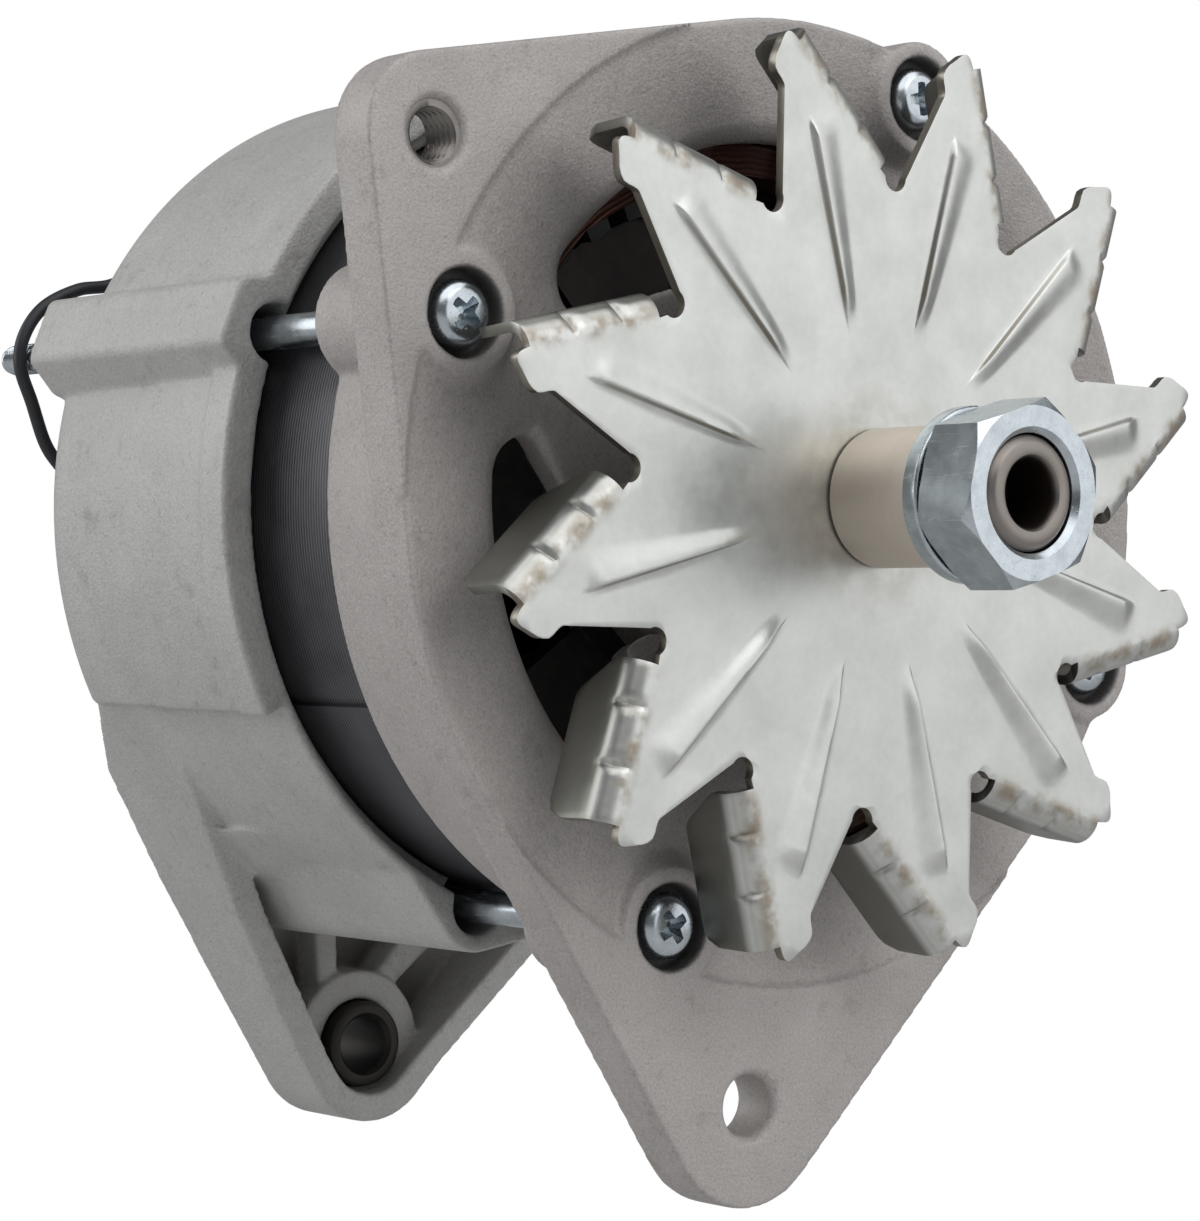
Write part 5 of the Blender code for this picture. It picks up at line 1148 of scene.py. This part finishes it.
def long_bolt(number, centre):
    """One long bolt: a domed head with its cross, a plain shank and a threaded end."""
    top, tip = reach_of(f"through_bolt_{number}")
    seat = HEAD_SEAT - GAP
    shank_end = tip - THREAD_LENGTH
    dome = arc_row((HEAD_RADIUS - HEAD_ROUND, top + 2.4), HEAD_ROUND, 0.0, -78.0, 8)
    profile = [(0.0, top + 0.02)] + dome[::-1]
    profile += [(HEAD_RADIUS, seat - 0.3), (4.6, seat), (THREAD_CREST, seat), (THREAD_CREST, shank_end),
                (0.0, shank_end)]
    recess = cross(centre, top, CROSS_ANGLES[number - 1])
    bolt = carve(f"long_bolt_{number}", turn(profile, 64, centre), [(CUT, recess)], ZINC, smooth=28.0)
    stand_for(bolt, f"through_bolt_{number}", "housing")
    thread = threaded(THREAD_ROOT, THREAD_CREST, THREAD_PITCH, tip - THREAD_LENGTH - 0.2, tip, centre)
    end = place(f"bolt_thread_{number}", thread, ZINC, 50.0)
    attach(end, "housing")


for number, centre in enumerate(BOLTS, 1):
    long_bolt(number, centre)
    front, rear = reach_of(f"through_bolt_nut_{number}")
    angle = 30.0 + BOLT_ANGLES[number - 1]
    nut = chamfered_nut(f"bolt_nut_{number}", BOLT_NUT_FLATS, angle, BOLT_HOLE, front, rear, centre, ZINC,
                        chamfer=0.7)
    stand_for(nut, f"through_bolt_nut_{number}", "housing")

print("long bolts:", len(BOLTS))

# %% [markdown]
# ## Bush and ear thread
# A steel bush lines the rear foot's bore, with rounded ends. The ear's hole is tapped, so its thread is the
# bolt's turned inside out: a thin sleeve with the helix on its bore.

# %% Bush and ear thread
bush_front, bush_rear = reach_of("pivot_bush")
bush_profile = [(5.2, bush_front), (6.4, bush_front), (6.85, bush_front + 0.3), (7.0, bush_front + 0.9),
                (7.0, bush_rear - 0.5), (6.6, bush_rear), (4.8, bush_rear), (4.5, bush_rear - 0.4),
                (4.5, bush_front + 0.9)]
bush = place("bush", turn(bush_profile, 96, PIVOT), BUSH_STEEL)
stand_for(bush, "pivot_bush", "housing")


def hole_thread(centre, root, crest, pitch, front, rear):
    """An inside thread: a thin sleeve with the helix on its bore."""
    mesh = bmesh.new()
    steps, rows = 72, int((rear - front) / pitch * 10)
    rings = []
    for row in range(rows + 1):
        y = front + (rear - front) * row / rows
        ring = []
        for step in range(steps):
            wave = (y / pitch - step / steps) % 1.0
            radius = root - (root - crest) * (1.0 - abs(2.0 * wave - 1.0))
            dx, dz = at(360.0 * step / steps, radius)
            ring.append(mesh.verts.new((centre[0] + dx, y, centre[1] + dz)))
        rings.append(ring)
    for y in (rear, front):
        dots = [at(360.0 * step / steps, root + 0.5) for step in range(steps)]
        rings.append([mesh.verts.new((centre[0] + dx, y, centre[1] + dz)) for dx, dz in dots])
    tube(mesh, rings, closed=True)
    return mesh


EAR_ROOT, EAR_CREST, EAR_PITCH = 4.4, 3.6, 1.25
ear_sleeve = hole_thread(EAR[:2], EAR_ROOT, EAR_CREST, EAR_PITCH, 0.9, 7.9)
ear_thread = place("ear_thread", ear_sleeve, CUT_ALUMINIUM, 50.0)
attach(ear_thread, "housing")

print("bush and ear thread made")

# %% [markdown]
# ## The stator's jacket
# Hundreds of stamped sheets are stacked and clamped, and four welded seams run along the stack. The sheets
# are too thin to model one by one, so the finish draws them and only the seams are cut.

# %% Stator jacket
STATOR_FRONT, STATOR_REAR = reach_of("stator_core")
seams = bmesh.new()
for seam in range(4):
    notch = [(61.6, -0.5), (64.0, -0.9), (64.0, 0.9), (61.6, 0.5)]
    prism(turned(notch, BOLT_ANGLES[3] - 40.0 + 90.0 * seam), STATOR_FRONT - 1.0, STATOR_REAR + 1.0, seams)
jacket = carve("stator_stack", turn([(56.4, STATOR_FRONT), (STATOR, STATOR_FRONT), (STATOR, STATOR_REAR),
                                     (56.4, STATOR_REAR)], 240), [(CUT, seams)], LAMINATION)
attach(jacket, "housing")
print("stator stack:", round(STATOR_REAR - STATOR_FRONT, 1), "mm long")

# %% [markdown]
# ## The suppressor's lead
# A thin black lead leaves the suppressor's cap, swings out round the end of the upper left bolt and returns
# to the output stud. Its route is the solid one's, drawn as one smooth curve with a round section.

# %% Lead
LEAD_RADIUS = 1.05
STRAP, CAPACITOR_RADIUS = 1.4, 7.5
CAPACITOR_X, CAPACITOR_CAP = -33.0, 37.9


def lead_route():
    """Points along the lead's middle, from the suppressor's cap round to the output stud."""
    x, y, high = CAPACITOR_X, DRUM_REAR + GAP + STRAP + CAPACITOR_RADIUS - 0.6, CAPACITOR_CAP
    over = reach_of("lead_terminal")[1] + GAP + LEAD_RADIUS
    return [(x, y, high), (x, y, high + 3.6), (x - 3.0, y + 1.4, high + 5.8), (x - 10.0, y + 2.9, high + 2.2),
            (-51.0, 113.3, 32.0), (-58.5, 113.3, 29.4), (-64.4, 113.3, 25.6), (-67.4, 113.3, 20.6),
            (-67.6, 113.3, 15.6), (-64.8, 113.3, 10.0), (-62.0, 113.3, 4.4), (-59.6, 113.0, 1.4),
            (-56.4, 112.0, -1.4), (STUD[0] - 8.0, over, STUD[1] + 1.9)]


def smooth_points(points, steps=12):
    """A smooth line through listed points."""
    route = [Vector(point) for point in points]
    ends = [2 * route[0] - route[1]] + route + [2 * route[-1] - route[-2]]
    line = []
    for a, b, c, d in zip(ends, ends[1:], ends[2:], ends[3:]):
        for step in range(steps):
            t = step / steps
            bend = (2 * a - 5 * b + 4 * c - d) * t * t + (3 * b - a - 3 * c + d) * t ** 3
            line.append(0.5 * (2 * b + (c - a) * t + bend))
    return line + [route[-1]]


line = smooth_points(lead_route())
curve = bpy.data.curves.new("suppressor_lead", "CURVE")
curve.dimensions, curve.bevel_depth = "3D", LEAD_RADIUS * MM
curve.bevel_resolution, curve.use_fill_caps = 6, True
spline = curve.splines.new("POLY")
spline.points.add(len(line) - 1)
for knot, point in zip(spline.points, line):
    knot.co = (point.x * MM, point.y * MM, (point.z + SHAFT) * MM, 1.0)
curve.materials.append(PVC)
lead = bpy.data.objects.new("suppressor_lead", curve)
bpy.context.collection.objects.link(lead)
stand_for(lead, "capacitor_lead", "housing")
lead_length = sum((b - a).length for a, b in zip(line, line[1:]))
print("lead:", round(lead_length, 1), "mm long")

# %% [markdown]
# ## Brush springs
# A small coil spring stands between the holder's cap and each carbon brush. The end coils lie almost flat,
# as they do on a ground spring. Seven coils of this wire would not really fit at the brush's full slide.

# %% Brush springs
WIRE, COILS, COIL_STEPS = 0.28, 7, 24


def brush_spring(which):
    """A coil from the brush's back up to the holder's cap, as long as the solid spring."""
    low, high = (Vector(corner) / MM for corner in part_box(f"brush_spring_{which}"))
    x, y = (low.x + high.x) / 2, (low.y + high.y) / 2
    radius = (high.x - low.x) / 2 - WIRE
    sections = []
    for step in range(COIL_STEPS * COILS + 1):
        c, s = at(360.0 * step / COIL_STEPS, 1.0)
        share = ease(step / (COIL_STEPS * COILS), 0.06, 0.94)
        rise = low.z + WIRE + (high.z - low.z - 2 * WIRE) * share - SHAFT
        ring = [at(45.0 * corner, WIRE) for corner in range(8)]
        sections.append([(x + (radius + out) * c, y + (radius + out) * s, rise + up) for out, up in ring])
    spring = place(f"coil_spring_{which}", skin(sections), STEEL, 60.0)
    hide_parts(f"brush_spring_{which}")
    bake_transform(spring)
    return spring


springs = [brush_spring(which) for which in ("inner", "outer")]
print("springs:", [spring.name for spring in springs])

# %% [markdown]
# ## The pieces kept from the solid model
# Windings, poles, bearings, rectifier and brush gear sit behind the castings. Their solids are true to size,
# so they stay, with their own finish and a fine bevel: a knife edge never catches light, a real edge does.

# %% Dress the carried-over solids
FINISH_OF = {
    "cast_aluminium_front": CAST_FRONT, "cast_aluminium_rear": CAST_REAR, "stator_laminations": LAMINATION,
    "varnished_copper": COPPER, "bright_steel": STEEL, "blue_zinc": ZINC, "fan_zinc": FAN_SHEET,
    "sleeve_steel": SLEEVE_STEEL, "bush_steel": BUSH_STEEL, "pole_iron": POLE_IRON,
    "black_moulding": MOULDING, "brush_carbon": CARBON, "slip_ring_copper": RING_COPPER, "lead_sleeve": PVC,
}


def slot_of(node):
    """The name of the material slot that the solid came with."""
    return node.data.materials[0].name.split(".")[0]


def dress(node, bevel=0.25):
    """Gives a solid its finish, smooth shading up to 32 degrees, and narrow bevels."""
    node.data.materials[0] = FINISH_OF[slot_of(node)]
    node.data.shade_smooth()
    node.data.set_sharp_from_angle(angle=math.radians(32.0))
    if bevel:
        edge = node.modifiers.new("worn_edges", "BEVEL")
        edge.width = bevel * MM
        edge.segments = 2
        edge.limit_method = "ANGLE"
        edge.angle_limit = math.radians(38.0)
        edge.harden_normals = True
        edge.use_clamp_overlap = True


kept = [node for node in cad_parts.values() if not node.hide_render]
for node in kept:
    dress(node)
print("kept from the solid model:", len(kept))

# %% [markdown]
# ## Studio and light
# A pale table that the camera doesn't see, a large soft light overhead, a window to the rear left, a wide
# fill from the front right, and a pure white backdrop, as in a catalogue picture. Large lights matter here:
# plated steel mirrors them, and a small lamp would burn a white spot into the nut and the fan.

# %% Stage and lights


def plane(name, size, place, material):
    """A flat square that belongs to the stage."""
    mesh = bmesh.new()
    bmesh.ops.create_grid(mesh, x_segments=1, y_segments=1, size=size / 2)
    data = bpy.data.meshes.new(name)
    mesh.to_mesh(data)
    mesh.free()
    made = bpy.data.objects.new(name, data)
    made.location = place
    data.materials.append(material)
    bpy.context.collection.objects.link(made)
    return made


floor_finish = Finish("pale_floor", roughness=0.9, base_color=(0.62, 0.62, 0.62, 1.0))
floor = plane("floor", 8.0, (0.0, 0.0, -0.1), floor_finish.material)
floor.visible_camera = False


def soft_light(name, place, aim, size, power, colour=(1.0, 1.0, 1.0)):
    """A rectangular lamp turned to its aim."""
    light = bpy.data.lights.new(name, "AREA")
    light.shape = "RECTANGLE"
    light.size, light.size_y = size
    light.energy = power
    light.color = colour
    made = bpy.data.objects.new(name, light)
    made.location = place
    made.rotation_euler = (Vector(aim) - Vector(place)).to_track_quat("-Z", "Y").to_euler()
    bpy.context.collection.objects.link(made)
    made.visible_camera = False
    return made


middle = (0.0, 0.03, 0.07)
soft_light("overhead", (-0.25, -0.60, 1.20), middle, (1.8, 1.6), 13.0)
soft_light("left_window", (-1.15, 0.85, 0.50), middle, (1.5, 1.2), 10.5)
soft_light("front_fill", (0.85, -1.45, 0.75), middle, (2.4, 1.7), 13.5)

world = bpy.data.worlds.new("white_room")
bpy.context.scene.world = world
world.use_nodes = True
tree = world.node_tree
tree.nodes.clear()
ray = tree.nodes.new("ShaderNodeLightPath")
seen = tree.nodes.new("ShaderNodeBackground")
seen.inputs["Color"].default_value = (1.0, 1.0, 1.0, 1.0)
seen.inputs["Strength"].default_value = 1.0
room = tree.nodes.new("ShaderNodeBackground")
room.inputs["Color"].default_value = (0.80, 0.82, 0.85, 1.0)
room.inputs["Strength"].default_value = 0.17
mix = tree.nodes.new("ShaderNodeMixShader")
out = tree.nodes.new("ShaderNodeOutputWorld")
tree.links.new(ray.outputs["Is Camera Ray"], mix.inputs[0])
tree.links.new(room.outputs[0], mix.inputs[1])
tree.links.new(seen.outputs[0], mix.inputs[2])
tree.links.new(mix.outputs[0], out.inputs[0])

# %% [markdown]
# ## The camera
# The camera stands low at the left front, with a long lens. Its place and its two directions were found from
# the round edges of the bracket, the fan and the bolts, so the render lies over the photograph.

# %% Camera
CAMERA_PLACE = (-0.352043, -0.396279, 0.033392)
RIGHT = Vector((0.77497, -0.62612, 0.08605))
UP = Vector((-0.11016, 0.00024, 0.99392))

scene = bpy.context.scene
scene.view_settings.view_transform = "Standard"
lens = bpy.data.cameras.new("camera")
lens.lens = 107.0
lens.sensor_width = 36.0
lens.sensor_fit = "AUTO"
lens.clip_start = 0.01
camera = bpy.data.objects.new("camera", lens)
bpy.context.collection.objects.link(camera)
back = RIGHT.cross(UP)
aim = Matrix((RIGHT, UP, back)).transposed().to_4x4()
camera.matrix_world = Matrix.Translation(CAMERA_PLACE) @ aim
scene.camera = camera
print("camera looks along", [round(v, 3) for v in -back])
